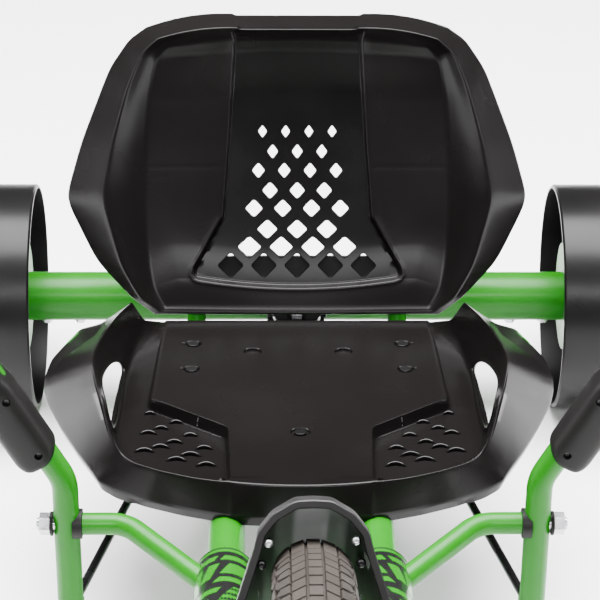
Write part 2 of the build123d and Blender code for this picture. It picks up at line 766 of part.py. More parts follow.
# ---------------------------------------------------------------- rear axle and its swivel
plug_in_x = 205.0
flange_r = 56.0
flange_t = 4.0
flange_in_x = wheel_in_x + 11.0
stub_r = 6.0
wheel_hub_in_x = wheel_in_x + 30.0
wheel_hub_out_x = wheel_out_x - 13.0
bush_bore = stub_r + running
axle_bolt_x = (wheel_in_x - 43.0, wheel_in_x - 8.0)
king_r = 6.0
king_bush_r = king_r + running
upper_plate_z = head_high_z + 3.0
plate_half = 30.0
boss_r = 24.0
back_wall_front = 33.0
back_wall_rear = 18.0
slot_in = arm_radius - rod_r - pin_gap
slot_out = arm_radius + rod_r + pin_gap + 10.0
slot_half = rod_r + pin_gap
arm_half = slot_half + 7.0

with BuildPart() as axle_tube:
    with BuildSketch(across(-flange_in_x)):
        with Locations((rear_y, rear_r)):
            Circle(axle_r)
            Circle(axle_r - tube_wall, mode=Mode.SUBTRACT)
    extrude(amount=2 * flange_in_x)
    for sign in (1, -1):
        with BuildSketch(across(sign * flange_in_x)):
            with Locations((rear_y, rear_r)):
                Circle(flange_r)
                Circle(stub_r, mode=Mode.SUBTRACT)
        extrude(amount=sign * flange_t)
    with BuildSketch(Plane.XY.offset(rear_r - 2 * axle_r)):
        with Locations(*[(sign * x, rear_y) for sign in (1, -1) for x in axle_bolt_x]):
            Circle(bolt_r)
    extrude(amount=2 * axle_r, mode=Mode.SUBTRACT)
write(axle_tube.part, "axle_tube")

for side, sign in SIDES:
    with BuildPart() as stub_axle:
        with BuildSketch(across(sign * plug_in_x)):
            with Locations((rear_y, rear_r)):
                Circle(axle_r - tube_wall)
        extrude(amount=sign * (flange_in_x - plug_in_x))
        with BuildSketch(across(sign * flange_in_x)):
            with Locations((rear_y, rear_r)):
                Circle(stub_r)
        extrude(amount=sign * (wheel_hub_out_x + 9 - flange_in_x))
        with BuildSketch(Plane.XY.offset(rear_r - 2 * axle_r)):
            with Locations(*[(sign * x, rear_y) for x in axle_bolt_x]):
                Circle(bolt_r)
        extrude(amount=2 * axle_r, mode=Mode.SUBTRACT)
    write(stub_axle.part, f"stub_axle_{side}")

with BuildPart() as axle_bolts:
    for x in [sign * x for sign in (1, -1) for x in axle_bolt_x]:
        with BuildSketch(Plane.XY.offset(rear_r - axle_r)):
            with Locations((x, rear_y)):
                Circle(bolt_r)
        extrude(amount=axle_r)
        with BuildSketch(Plane.XY.offset(rear_r - axle_r)):
            with Locations((x, rear_y)):
                RegularPolygon(radius=5, side_count=6, major_radius=False)
        extrude(amount=-5)
write(axle_bolts.part, "axle_bolts")

with BuildPart() as steer_yoke:
    # Upper plate.
    with BuildSketch(Plane.XY.offset(upper_plate_z)):
        with Locations((0, rear_y - (steer_pivot_ahead + back_wall_rear) / 2)):
            Rectangle(2 * plate_half, steer_pivot_ahead - back_wall_rear)
        with Locations((0, pivot_y)):
            Circle(boss_r)
    extrude(amount=plate_t)
    # Lower plate with the two steering arms.
    with BuildSketch(Plane.XY.offset(arm_plate_z)):
        with Locations((0, rear_y - (steer_pivot_ahead + back_wall_rear) / 2)):
            Rectangle(2 * plate_half, steer_pivot_ahead - back_wall_rear)
        with Locations((0, pivot_y)):
            Circle(boss_r)
            SlotOverall(2 * (slot_out + 7), 2 * arm_half)
        for sign in (1, -1):
            with Locations((sign * (slot_in + slot_out) / 2, pivot_y)):
                SlotOverall(slot_out - slot_in, 2 * slot_half, mode=Mode.SUBTRACT)
    extrude(amount=plate_t)
    # Rear wall, notched round the axle tube.
    with BuildSketch(Plane.XY.offset(arm_plate_z)):
        with Locations((0, rear_y - (back_wall_front + back_wall_rear) / 2)):
            Rectangle(2 * plate_half, back_wall_front - back_wall_rear)
    extrude(amount=upper_plate_z + plate_t - arm_plate_z)
    with BuildSketch(across(-2 * plate_half)):
        with Locations((rear_y, rear_r)):
            Circle(axle_r)
    extrude(amount=4 * plate_half, mode=Mode.SUBTRACT)
    with BuildSketch(Plane.XY.offset(arm_plate_z)):
        with Locations((0, pivot_y)):
            Circle(king_r)
    extrude(amount=upper_plate_z + plate_t - arm_plate_z, mode=Mode.SUBTRACT)
write(steer_yoke.part, "steer_yoke")

with BuildPart() as king_bolt:
    with BuildSketch(Plane.XY.offset(arm_plate_z - 12)):
        with Locations((0, pivot_y)):
            Circle(king_r)
    extrude(amount=upper_plate_z + plate_t - arm_plate_z + 12)
    for z, thick in ((arm_plate_z, -10), (upper_plate_z + plate_t, 7.5)):
        with BuildSketch(Plane.XY.offset(z)):
            with Locations((0, pivot_y)):
                RegularPolygon(radius=9, side_count=6, major_radius=False)
        extrude(amount=thick)
write(king_bolt.part, "king_bolt")

with BuildPart() as head_bushes:
    for z, thick in ((head_high_z, 1), (head_low_z, -1)):
        with BuildSketch(Plane.XY.offset(z)):
            with Locations((0, pivot_y)):
                Circle(head_r)
                Circle(king_bush_r, mode=Mode.SUBTRACT)
        extrude(amount=thick * (3.0 - joint_gap))
        with BuildSketch(Plane.XY.offset(z)):
            with Locations((0, pivot_y)):
                Circle(head_bore_r)
                Circle(king_bush_r, mode=Mode.SUBTRACT)
        extrude(amount=-thick * 18)
write(head_bushes.part, "head_bushes")

# ---------------------------------------------------------------- rear wheels
wheel_wall = 4.0
web_x = wheel_out_x - 29.0
rib_count = 6
wheel_bush_r = 15.0
wheel_boss_r = 22.0
bush_l = 16.0

for side, sign in SIDES:
    with BuildPart() as rear_wheel:
        shell_r = rear_r - wheel_wall
        with BuildSketch(rear_section):
            Polygon(*[(sign * x, r) for x, r in (
                (wheel_in_x, shell_r), (wheel_in_x, rear_r - 2), (wheel_in_x + 2, rear_r),
                (wheel_out_x - 4, rear_r), (wheel_out_x, rear_r - 4), (wheel_out_x, rear_r - 12),
                (wheel_out_x - 14, rear_r - 22), (web_x + 4, 62), (web_x + 4, wheel_boss_r),
                (wheel_hub_out_x, wheel_boss_r), (wheel_hub_out_x, wheel_bush_r),
                (wheel_hub_in_x, wheel_bush_r), (wheel_hub_in_x, wheel_boss_r), (web_x, wheel_boss_r),
                (web_x, 62), (wheel_out_x - 19, rear_r - 20), (wheel_out_x - 16, shell_r))], align=None)
        revolve(axis=rear_axle)
        with BuildSketch(across(sign * (wheel_in_x + 46))):
            with Locations((rear_y, rear_r)):
                with PolarLocations(0, rib_count, start_angle=90):
                    with Locations(((wheel_boss_r + shell_r) / 2, 0)):
                        Rectangle(shell_r - wheel_boss_r + 2, wheel_wall)
        extrude(amount=sign * (web_x - wheel_in_x - 44))
    write(rear_wheel.part, f"rear_wheel_{side}")

    with BuildPart() as wheel_bushes:
        for x, step in ((wheel_hub_in_x, 1), (wheel_hub_out_x, -1)):
            with BuildSketch(across(sign * x)):
                with Locations((rear_y, rear_r)):
                    Circle(wheel_bush_r)
                    Circle(bush_bore, mode=Mode.SUBTRACT)
            extrude(amount=sign * step * bush_l)
            with BuildSketch(across(sign * x)):
                with Locations((rear_y, rear_r)):
                    Circle(wheel_bush_r + 3)
                    Circle(bush_bore, mode=Mode.SUBTRACT)
            extrude(amount=-sign * step * 2)
    write(wheel_bushes.part, f"wheel_bushes_{side}")

    with BuildPart() as hub_cap:
        with BuildSketch(rear_section):
            Polygon(*[(sign * x, r) for x, r in (
                (wheel_out_x - 1, 0), (wheel_out_x - 1, 24), (wheel_out_x - 4, 28), (web_x + 4, 28),
                (web_x + 4, wheel_boss_r + 0.2), (wheel_out_x - 7, wheel_boss_r + 0.2),
                (wheel_out_x - 3, 20), (wheel_out_x - 3, 0))], align=None)
        revolve(axis=rear_axle)
    write(hub_cap.part, f"hub_cap_{side}")

with BuildPart() as axle_nuts:
    for sign in (1, -1):
        with BuildSketch(across(sign * (wheel_hub_out_x + 2 + joint_gap))):
            with Locations((rear_y, rear_r)):
                RegularPolygon(radius=8, side_count=6, major_radius=False)
                Circle(stub_r, mode=Mode.SUBTRACT)
        extrude(amount=sign * 6.5)
write(axle_nuts.part, "axle_nuts")

# ---------------------------------------------------------------- levers
lean_out = sin(radians(lever_lean))
lean_up = cos(radians(lever_lean))
lever_low_z = lever_pivot_z - lever_arm + 18.0
clevis_half = (11.0, 10.0)
clevis_low_z = lever_pivot_z - lever_arm - 11.0
eye_r = 9.0
eye_half_t = 4.0
clevis_slot_half = eye_half_t + 0.5
rod_pin_r = 4.0
rod_z = lever_pivot_z - lever_arm
rod_rear_z = arm_plate_z + plate_t + rod_r + 5.0
shroud_low_s = lever_bend_r * tan(radians(lever_lean) / 2) + shroud_start
perch_s = 82.0
perch_in_n = shroud_n + shroud_width / 2
perch_n = perch_in_n + 13.0


def leaning(sign, s, n=0.0):
    """Point on the leaning part of a lever: s up its axis from the bend, n outward from it."""
    x = lever_x + s * lean_out + n * lean_up
    z = lever_bend_z + s * lean_up - n * lean_out
    return (sign * x, lever_y, z)


def leaning_plane(sign, s):
    """Plane square to the leaning axis, with local x outward and local y to the front or rear."""
    return Plane(
        origin=leaning(sign, s),
        x_dir=(sign * lean_up, 0, -lean_out),
        z_dir=(sign * lean_out, 0, lean_up),
    )


for side, sign in SIDES:
    with BuildPart() as lever_tube:
        with BuildLine() as lever_route:
            FilletPolyline(
                (sign * lever_x, lever_y, lever_low_z),
                leaning(sign, 0),
                leaning(sign, lever_upper),
                radius=lever_bend_r,
            )
        with BuildSketch(Plane(origin=lever_route.line @ 0, z_dir=lever_route.line % 0)):
            Circle(lever_r)
        sweep()
        with BuildSketch(Plane.XY.offset(clevis_low_z)):
            with Locations((sign * lever_x, lever_y)):
                Rectangle(2 * clevis_half[0], 2 * clevis_half[1])
        extrude(amount=lever_low_z + 8 - clevis_low_z)
        with BuildSketch(Plane.XY.offset(clevis_low_z)):
            with Locations((sign * lever_x, lever_y)):
                Rectangle(2 * clevis_slot_half, 4 * clevis_half[1])
        extrude(amount=lever_low_z - 2 - clevis_low_z, mode=Mode.SUBTRACT)
        with BuildSketch(across(sign * (lever_x - 2 * lever_r))):
            with Locations((lever_y, lever_pivot_z)):
                Circle(pivot_bolt_r + running)
            with Locations((lever_y, rod_z)):
                Circle(rod_pin_r)
        extrude(amount=sign * 4 * lever_r, mode=Mode.SUBTRACT)
    write(lever_tube.part, f"lever_tube_{side}")

    with BuildPart() as lever_bush:
        with BuildSketch(across(sign * bush_in_x)):
            with Locations((lever_y, lever_pivot_z)):
                Circle(bush_r)
                Circle(pivot_bolt_r + running, mode=Mode.SUBTRACT)
        extrude(amount=sign * 8)
        with BuildSketch(Plane.XY.offset(lever_pivot_z - 2 * bush_r)):
            with Locations((sign * lever_x, lever_y)):
                Circle(lever_r)
        extrude(amount=4 * bush_r, mode=Mode.SUBTRACT)
    write(lever_bush.part, f"lever_bush_{side}")

    with BuildPart() as shroud:
        with BuildSketch(leaning_plane(sign, shroud_low_s)):
            with Locations((shroud_n, 0)):
                RectangleRounded(shroud_width, shroud_depth, 12)
            Circle(lever_r, mode=Mode.SUBTRACT)
        extrude(amount=shroud_length)
    write(shroud.part, f"lever_shroud_{side}")

    with BuildPart() as handgrip:
        with BuildSketch(leaning_plane(sign, lever_upper - grip_length + 4)):
            Circle(grip_d / 2)
        extrude(amount=grip_length)
        with BuildSketch(leaning_plane(sign, lever_upper - grip_length + 4)):
            Circle(lever_r)
        extrude(amount=grip_length - 4, mode=Mode.SUBTRACT)
    write(handgrip.part, f"handgrip_{side}")

    with BuildPart() as brake_perch:
        with BuildSketch(leaning_plane(sign, perch_s - 16)):
            with Locations((perch_in_n + 9.5, 0)):
                Rectangle(19, 20)
        extrude(amount=32)
        with BuildSketch(leaning_plane(sign, perch_s - 18)):
            with Locations((perch_in_n + 5 + 10, 0)):
                Rectangle(20, 9)
        extrude(amount=36, mode=Mode.SUBTRACT)
        with BuildSketch(Plane(origin=leaning(sign, perch_s, perch_n), z_dir=(0, 1, 0))):
            Circle(3)
        extrude(amount=20, both=True, mode=Mode.SUBTRACT)
    write(brake_perch.part, f"brake_perch_{side}")

    with BuildPart() as brake_lever:
        lever_plane = Plane(
            origin=(0, lever_y - 4, 0), x_dir=(1, 0, 0), z_dir=(0, -1, 0)
        )
        spine = [(-8, 0), (30, 2), (60, 6), (148, 10), (156, 15)]
        line = [leaning(sign, perch_s + s, perch_n + n + 5.5) for s, n in spine]
        back = [leaning(sign, perch_s + s, perch_n + n - 5.5) for s, n in reversed(spine)]
        with BuildSketch(lever_plane):
            Polygon(*[(x, z) for x, y, z in line + back], align=None)
            with Locations((leaning(sign, perch_s, perch_n)[0], leaning(sign, perch_s, perch_n)[2])):
                Circle(3 + running, mode=Mode.SUBTRACT)
        extrude(amount=-8)
    write(brake_lever.part, f"brake_lever_{side}")

    with BuildPart() as steer_rod:
        with BuildSketch(across(sign * (lever_x - eye_half_t))):
            with Locations((lever_y, rod_z)):
                Circle(eye_r)
        extrude(amount=sign * 2 * eye_half_t)
        with BuildLine() as rod_route:
            FilletPolyline(
                (sign * lever_x, lever_y + 4, rod_z),
                (sign * lever_x, lever_y + 36, rod_z),
                (sign * arm_radius, pivot_y - 26, rod_rear_z),
                (sign * arm_radius, pivot_y, rod_rear_z),
                (sign * arm_radius, pivot_y, arm_plate_z - 13),
                radius=10,
            )
        with BuildSketch(Plane(origin=rod_route.line @ 0, z_dir=rod_route.line % 0)):
            Circle(rod_r)
        sweep()
        with BuildSketch(across(sign * (lever_x - 2 * eye_half_t))):
            with Locations((lever_y, rod_z)):
                Circle(rod_pin_r + running)
        extrude(amount=sign * 4 * eye_half_t, mode=Mode.SUBTRACT)
    write(steer_rod.part, f"steer_rod_{side}")

for side, sign in SIDES:
    with BuildPart() as lever_pins:
        with BuildSketch(Plane(origin=leaning(sign, perch_s, perch_n), z_dir=(0, 1, 0))):
            Circle(3)
        extrude(amount=11, both=True)
        with BuildSketch(across(sign * (lever_x - clevis_half[0] - 2))):
            with Locations((lever_y, rod_z)):
                Circle(rod_pin_r)
        extrude(amount=sign * (2 * clevis_half[0] + 4))
    write(lever_pins.part, f"lever_pins_{side}")
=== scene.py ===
import json
import math

import bmesh
import bpy
from mathutils import Matrix, Vector
from mathutils.bvhtree import BVHTree

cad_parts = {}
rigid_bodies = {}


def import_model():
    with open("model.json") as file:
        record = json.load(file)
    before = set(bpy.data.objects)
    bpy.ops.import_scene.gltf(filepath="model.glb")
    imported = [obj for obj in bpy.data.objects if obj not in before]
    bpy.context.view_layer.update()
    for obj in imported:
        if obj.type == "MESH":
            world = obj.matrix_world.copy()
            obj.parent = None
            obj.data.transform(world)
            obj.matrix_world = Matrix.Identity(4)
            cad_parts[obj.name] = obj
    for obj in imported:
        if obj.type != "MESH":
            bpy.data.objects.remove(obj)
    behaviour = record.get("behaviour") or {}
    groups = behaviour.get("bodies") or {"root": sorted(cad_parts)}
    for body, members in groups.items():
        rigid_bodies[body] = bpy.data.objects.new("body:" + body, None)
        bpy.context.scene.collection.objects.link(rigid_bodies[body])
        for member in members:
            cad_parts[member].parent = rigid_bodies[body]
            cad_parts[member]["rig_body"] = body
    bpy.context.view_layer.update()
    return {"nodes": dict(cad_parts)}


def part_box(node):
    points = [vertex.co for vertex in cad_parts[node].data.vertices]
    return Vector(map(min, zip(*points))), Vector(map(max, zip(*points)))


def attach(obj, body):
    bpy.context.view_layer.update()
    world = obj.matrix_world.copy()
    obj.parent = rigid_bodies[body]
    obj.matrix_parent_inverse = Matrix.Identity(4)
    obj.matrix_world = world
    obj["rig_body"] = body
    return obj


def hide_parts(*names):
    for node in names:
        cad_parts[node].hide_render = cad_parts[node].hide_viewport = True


# Looks of the pedal cart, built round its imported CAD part. Sizes here are millimetres; mesh data
# is written in metres. Front is -Y, the rider's left is +X.

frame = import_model()
nodes = frame["nodes"]
MM = 0.001

# ---------------------------------------------------------------- places taken from the frame
wheel_low, wheel_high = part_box("front_tyre")
FRONT_Y = (wheel_low.y + wheel_high.y) / 2 / MM
FRONT_Z = (wheel_low.z + wheel_high.z) / 2 / MM
FRONT_R = (wheel_high.z - wheel_low.z) / 2 / MM
tube_low, tube_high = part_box("axle_tube")
REAR_Y = (tube_low.y + tube_high.y) / 2 / MM
SEAT_SLOPE = math.radians(7.5)
SEAT_ORIGIN = Vector((0, REAR_Y - 130, 166))
RECLINE = math.radians(20)
BACK_ORIGIN = Vector((0, REAR_Y - 140, 174))
FRAME_SLOPE = math.atan(150.5 / 950)
RAIL_X = 65.0
LEVER_Y = REAR_Y - 530
LEVER_X = 200.0
LEVER_BEND_Z = 245.0
LEAN = math.radians(28.5)
SIDES = (("left", 1), ("right", -1))


def back_point(x, u, k):
    """Point of the seat back: sideways, up the back, out of its front face."""
    return Vector((
        x,
        BACK_ORIGIN.y + u * math.sin(RECLINE) - k * math.cos(RECLINE),
        BACK_ORIGIN.z + u * math.cos(RECLINE) + k * math.sin(RECLINE),
    ))


def pan_point(x, v, h):
    """Point of the seat pan: sideways, towards the rear, up out of its floor."""
    return Vector((
        x,
        SEAT_ORIGIN.y + v * math.cos(SEAT_SLOPE) + h * math.sin(SEAT_SLOPE),
        SEAT_ORIGIN.z - v * math.sin(SEAT_SLOPE) + h * math.cos(SEAT_SLOPE),
    ))


def wheel_point(x, r, angle):
    """Point round the front axle: angle in degrees back from straight up."""
    a = math.radians(angle)
    return Vector((x, FRONT_Y + r * math.sin(a), FRONT_Z + r * math.cos(a)))


def lever_point(sign, s, n=0.0, f=0.0):
    """Point on the leaning part of a lever: s up from the bend, n outward, f towards the front."""
    x = LEVER_X + s * math.sin(LEAN) + n * math.cos(LEAN)
    z = LEVER_BEND_Z + s * math.cos(LEAN) - n * math.sin(LEAN)
    return Vector((sign * x, LEVER_Y - f, z))


def frame_point(x, d, up=0.0, out=0.0):
    """Point by the sloping frame line, d in front of the rear axle, up square to the line."""
    z = FRONT_Z - (1072 - d) * math.tan(FRAME_SLOPE)
    return Vector((x + out, REAR_Y - d + up * math.sin(FRAME_SLOPE), z + up * math.cos(FRAME_SLOPE)))


# ---------------------------------------------------------------- materials
class Finish:
    """A procedural finish: subtle colour and roughness variation and a fine surface grain."""

    def __init__(self, name):
        self.mat = bpy.data.materials.new(name)
        self.mat.use_nodes = True
        self.tree = self.mat.node_tree
        self.bsdf = self.tree.nodes["Principled BSDF"]
        self.coords = self.tree.nodes.new("ShaderNodeTexCoord")

    def node(self, kind, **values):
        made = self.tree.nodes.new(kind)
        for key, value in values.items():
            setattr(made, key, value)
        return made

    def link(self, a, b):
        self.tree.links.new(a, b)

    def noise(self, scale, detail=2.0, rough=0.5, stretch=None):
        made = self.node("ShaderNodeTexNoise")
        made.inputs["Scale"].default_value = scale
        made.inputs["Detail"].default_value = detail
        made.inputs["Roughness"].default_value = rough
        source = self.coords.outputs["Object"]
        if stretch:
            mapping = self.node("ShaderNodeMapping")
            mapping.inputs["Scale"].default_value = stretch
            self.link(source, mapping.inputs["Vector"])
            source = mapping.outputs["Vector"]
        self.link(source, made.inputs["Vector"])
        return made.outputs["Fac"]

    def colour(self, dark, light, scale=9.0, detail=3.0):
        ramp = self.node("ShaderNodeValToRGB")
        ramp.color_ramp.elements[0].position = 0.3
        ramp.color_ramp.elements[0].color = (*dark, 1)
        ramp.color_ramp.elements[1].position = 0.7
        ramp.color_ramp.elements[1].color = (*light, 1)
        self.link(self.noise(scale, detail), ramp.inputs["Fac"])
        self.link(ramp.outputs["Color"], self.bsdf.inputs["Base Color"])

    def roughness(self, low, high, scale=14.0, detail=4.0, stretch=None):
        spread = self.node("ShaderNodeMapRange")
        spread.inputs["From Min"].default_value = 0.3
        spread.inputs["From Max"].default_value = 0.7
        spread.inputs["To Min"].default_value = low
        spread.inputs["To Max"].default_value = high
        self.link(self.noise(scale, detail, stretch=stretch), spread.inputs["Value"])
        self.link(spread.outputs["Result"], self.bsdf.inputs["Roughness"])

    def grain(self, *layers):
        """Bump from noise layers: (scale, height in metres, stretch)."""
        last = None
        for scale, height, stretch in layers:
            bump = self.node("ShaderNodeBump")
            bump.inputs["Strength"].default_value = 1.0
            bump.inputs["Distance"].default_value = height
            self.link(self.noise(scale, 2.0, stretch=stretch), bump.inputs["Height"])
            if last:
                self.link(last.outputs["Normal"], bump.inputs["Normal"])
            last = bump
        self.link(last.outputs["Normal"], self.bsdf.inputs["Normal"])

    def set(self, **values):
        for key, value in values.items():
            self.bsdf.inputs[key.replace("_", " ")].default_value = value
        return self.mat


def finish_of(name, dark, light, rough, grain, colour_scale=9.0, **values):
    made = Finish(name)
    made.colour(dark, light, colour_scale)
    made.roughness(*rough)
    made.grain(*grain)
    return made.set(**values)


green = finish_of(
    "green_powder_coat", (0.0040, 0.135, 0.0002), (0.0050, 0.150, 0.0004), (0.36, 0.46, 20.0),
    [(420.0, 0.00005, None), (60.0, 0.00008, None)],
    Coat_Weight=0.06, Coat_Roughness=0.15, Specular_IOR_Level=0.22,
)
seat_black = finish_of(
    "seat_plastic", (0.0030, 0.0025, 0.0024), (0.0042, 0.0036, 0.0035), (0.21, 0.30, 7.0),
    [(900.0, 0.00003, None), (11.0, 0.0006, None)], 6.0, Specular_IOR_Level=0.17,
)
seat_gloss = finish_of(
    "seat_recess_plastic", (0.0016, 0.0014, 0.0014), (0.0025, 0.0022, 0.0022), (0.22, 0.32, 10.0),
    [(900.0, 0.00001, None), (11.0, 0.0005, None)], 6.0, Specular_IOR_Level=0.20,
)
moulded = finish_of(
    "moulded_black", (0.0048, 0.0044, 0.0043), (0.0070, 0.0064, 0.0063), (0.38, 0.50, 16.0),
    [(1300.0, 0.00006, None)], Specular_IOR_Level=0.16,
)
fender_grey = finish_of(
    "fender_plastic", (0.0075, 0.0070, 0.0070), (0.0100, 0.0093, 0.0093), (0.36, 0.46, 16.0),
    [(1100.0, 0.00004, None)], Specular_IOR_Level=0.22,
)
wheel_black = finish_of(
    "wheel_plastic", (0.0035, 0.0033, 0.0033), (0.0050, 0.0047, 0.0047), (0.26, 0.36, 10.0),
    [(700.0, 0.00003, None), (16.0, 0.0003, None)], Specular_IOR_Level=0.16,
)
black_gloss = finish_of(
    "black_enamel", (0.0035, 0.0035, 0.0035), (0.0055, 0.0055, 0.0055), (0.20, 0.30, 25.0),
    [(350.0, 0.00004, None)], Coat_Weight=0.2, Coat_Roughness=0.05, Specular_IOR_Level=0.22,
)
zinc = finish_of(
    "zinc_plate", (0.50, 0.51, 0.53), (0.66, 0.67, 0.69), (0.22, 0.38, 90.0),
    [(900.0, 0.00003, None)], 120.0, Metallic=1.0,
)
alloy = finish_of(
    "polished_alloy", (0.62, 0.63, 0.64), (0.74, 0.75, 0.76), (0.16, 0.28, 60.0),
    [(500.0, 0.00002, (1, 1, 0.1))], 60.0, Metallic=1.0,
)
black_alloy = finish_of(
    "black_anodised_alloy", (0.030, 0.030, 0.031), (0.042, 0.042, 0.043), (0.30, 0.42, 40.0),
    [(800.0, 0.00002, None)], 50.0, Metallic=1.0,
)
tyre_black = finish_of(
    "tyre_rubber", (0.021, 0.0165, 0.0135), (0.031, 0.0255, 0.0215), (0.62, 0.80, 60.0),
    [(900.0, 0.00010, None), (160.0, 0.00010, None)], 45.0, Specular_IOR_Level=0.20,
)
tube_black = finish_of(
    "butyl_rubber", (0.014, 0.014, 0.014), (0.020, 0.020, 0.020), (0.50, 0.62, 50.0),
    [(600.0, 0.00004, None)],
)
grip_black = finish_of(
    "grip_rubber", (0.010, 0.010, 0.010), (0.016, 0.0155, 0.015), (0.55, 0.68, 60.0),
    [(1200.0, 0.00008, None)], Specular_IOR_Level=0.18,
)
decal_black = finish_of(
    "decal_black_film", (0.006, 0.006, 0.006), (0.008, 0.008, 0.008), (0.22, 0.30, 30.0),
    [(500.0, 0.00001, None)], Coat_Weight=0.4, Coat_Roughness=0.1, Specular_IOR_Level=0.20,
)
decal_green = finish_of(
    "decal_green_ink", (0.0050, 0.140, 0.0005), (0.0062, 0.158, 0.0008), (0.24, 0.32, 30.0),
    [(500.0, 0.00001, None)], Coat_Weight=0.4, Coat_Roughness=0.1,
)
FINISHES = {
    "frame_paint": green, "seat_plastic": seat_black, "black_plastic": moulded,
    "fender_plastic": fender_grey, "wheel_plastic": wheel_black, "black_paint": black_gloss,
    "zinc": zinc, "rim_metal": black_alloy, "lever_alloy": alloy, "tyre_rubber": tyre_black,
    "tube_rubber": tube_black, "grip_rubber": grip_black,
}
slot_of = {}
for name, node in nodes.items():
    slot_of[name] = node.data.materials[0].name.split(".")[0]
    for i in range(len(node.data.materials)):
        node.data.materials[i] = FINISHES[slot_of[name]]
body_of = {name: node["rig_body"] for name, node in nodes.items()}


# ---------------------------------------------------------------- mesh helpers
def link_object(name, mesh):
    obj = bpy.data.objects.new(name, mesh)
    bpy.context.scene.collection.objects.link(obj)
    return obj


def settle(obj, node, replaces=True, material=None, slot=None):
    """Finish a piece: its material (the finish of its slot unless one is given), its body and the CAD node
    that it stands for.
    """
    slot = slot or slot_of[node]
    if not obj.data.materials:
        obj.data.materials.append(material or FINISHES[slot])
    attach(obj, body_of[node])
    if replaces:
        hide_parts(node)
    return obj


def shaped(name, points, faces, smooth=35.0):
    """Mesh object from millimetre points."""
    mesh = bpy.data.meshes.new(name)
    mesh.from_pydata([Vector(p) * MM for p in points], [], faces)
    tidy(mesh)
    if smooth is not None:
        mesh.shade_smooth()
        mesh.set_sharp_from_angle(angle=math.radians(smooth))
    return link_object(name, mesh)


def tidy(mesh, distance=2e-6, outward=True):
    work = bmesh.new()
    work.from_mesh(mesh)
    bmesh.ops.remove_doubles(work, verts=work.verts, dist=distance)
    bmesh.ops.dissolve_degenerate(work, edges=work.edges, dist=1e-6)
    if outward:
        bmesh.ops.recalc_face_normals(work, faces=work.faces)
    work.to_mesh(mesh)
    work.free()
    mesh.update()


def grid_faces(rows, columns, start=0, wrap_rows=False, wrap_columns=False):
    faces = []
    for i in range(rows if wrap_rows else rows - 1):
        for j in range(columns if wrap_columns else columns - 1):
            a = start + i * columns + j
            b = start + i * columns + (j + 1) % columns
            c = start + (i + 1) % rows * columns + (j + 1) % columns
            d = start + (i + 1) % rows * columns + j
            faces.append((a, b, c, d))
    return faces


def bevelled(obj, width, segments=2, angle=32.0):
    made = obj.modifiers.new("bevel", "BEVEL")
    made.width = width * MM
    made.segments = segments
    made.limit_method = "ANGLE"
    made.angle_limit = math.radians(angle)
    made.use_clamp_overlap = True
    made.harden_normals = True
    return obj


def baked(obj):
    """Replace an object's mesh with its modified shape."""
    graph = bpy.context.evaluated_depsgraph_get()
    mesh = bpy.data.meshes.new_from_object(obj.evaluated_get(graph))
    obj.modifiers.clear()
    obj.data = mesh
    return obj


def refined(node, width=0.6, segments=2, angle=32.0):
    """Copy of a CAD node with softened edges, riding in its place."""
    mesh = nodes[node].data.copy()
    mesh.name = node + "_refined"
    work = bmesh.new()
    work.from_mesh(mesh)
    bmesh.ops.remove_doubles(work, verts=work.verts, dist=2e-6)
    bmesh.ops.dissolve_limit(
        work, angle_limit=math.radians(0.4), verts=work.verts, edges=work.edges
    )
    work.to_mesh(mesh)
    work.free()
    if "custom_normal" in mesh.attributes:
        mesh.attributes.remove(mesh.attributes["custom_normal"])
    mesh.shade_smooth()
    mesh.set_sharp_from_angle(angle=math.radians(angle))
    obj = link_object(node + "_refined", mesh)
    bevelled(obj, width, segments, angle)
    return settle(obj, node)


def rounded(points, radii, steps, cuts):
    """Line through points with its inner corners rounded.
    radii has one value per inner corner; cuts says how many pieces each straight run gets."""
    points = [Vector(p) for p in points]
    line = []
    last = points[0]
    for i in range(1, len(points)):
        if i < len(points) - 1:
            before = points[i - 1] - points[i]
            after = points[i + 1] - points[i]
            radius = radii[i - 1]
            enter = points[i] + before.normalized() * min(radius, before.length * 0.45) \
                if before.length > 1e-9 else points[i].copy()
            leave = points[i] + after.normalized() * min(radius, after.length * 0.45) \
                if after.length > 1e-9 else points[i].copy()
        else:
            enter = points[i]
            leave = None
        for c in range(cuts[i - 1]):
            line.append(last.lerp(enter, c / cuts[i - 1]))
        if leave is None:
            line.append(enter)
            break
        for s in range(steps):
            t = s / steps
            line.append(enter.lerp(points[i], t).lerp(points[i].lerp(leave, t), t))
        last = leave
    return line


def resampled(points, pieces, soften=0):
    """Points at even spacing inside each run between the given points, with softened corners."""
    line = []
    for i in range(len(points) - 1):
        a, b = Vector(points[i]), Vector(points[i + 1])
        line += [a.lerp(b, j / pieces[i]) for j in range(pieces[i])]
    line.append(Vector(points[-1]))
    for _ in range(soften):
        moved = [p.copy() for p in line]
        for i in range(1, len(line) - 1):
            moved[i] = (line[i - 1] + 2 * line[i] + line[i + 1]) / 4
        line = moved
    return line


def smoothstep(edge0, edge1, x):
    t = min(max((x - edge0) / (edge1 - edge0), 0.0), 1.0)
    return t * t * (3 - 2 * t)


def distance_inside(p, outline):
    """Signed distance from a point to a closed outline, positive inside."""
    inside = False
    nearest = 1e9
    count = len(outline)
    for i in range(count):
        ax, ay = outline[i]
        bx, by = outline[(i + 1) % count]
        if (ay > p[1]) != (by > p[1]) and p[0] < (bx - ax) * (p[1] - ay) / (by - ay) + ax:
            inside = not inside
        dx, dy = bx - ax, by - ay
        t = max(0.0, min(1.0, ((p[0] - ax) * dx + (p[1] - ay) * dy) / (dx * dx + dy * dy)))
        nearest = min(nearest, math.hypot(p[0] - ax - t * dx, p[1] - ay - t * dy))
    return nearest if inside else -nearest


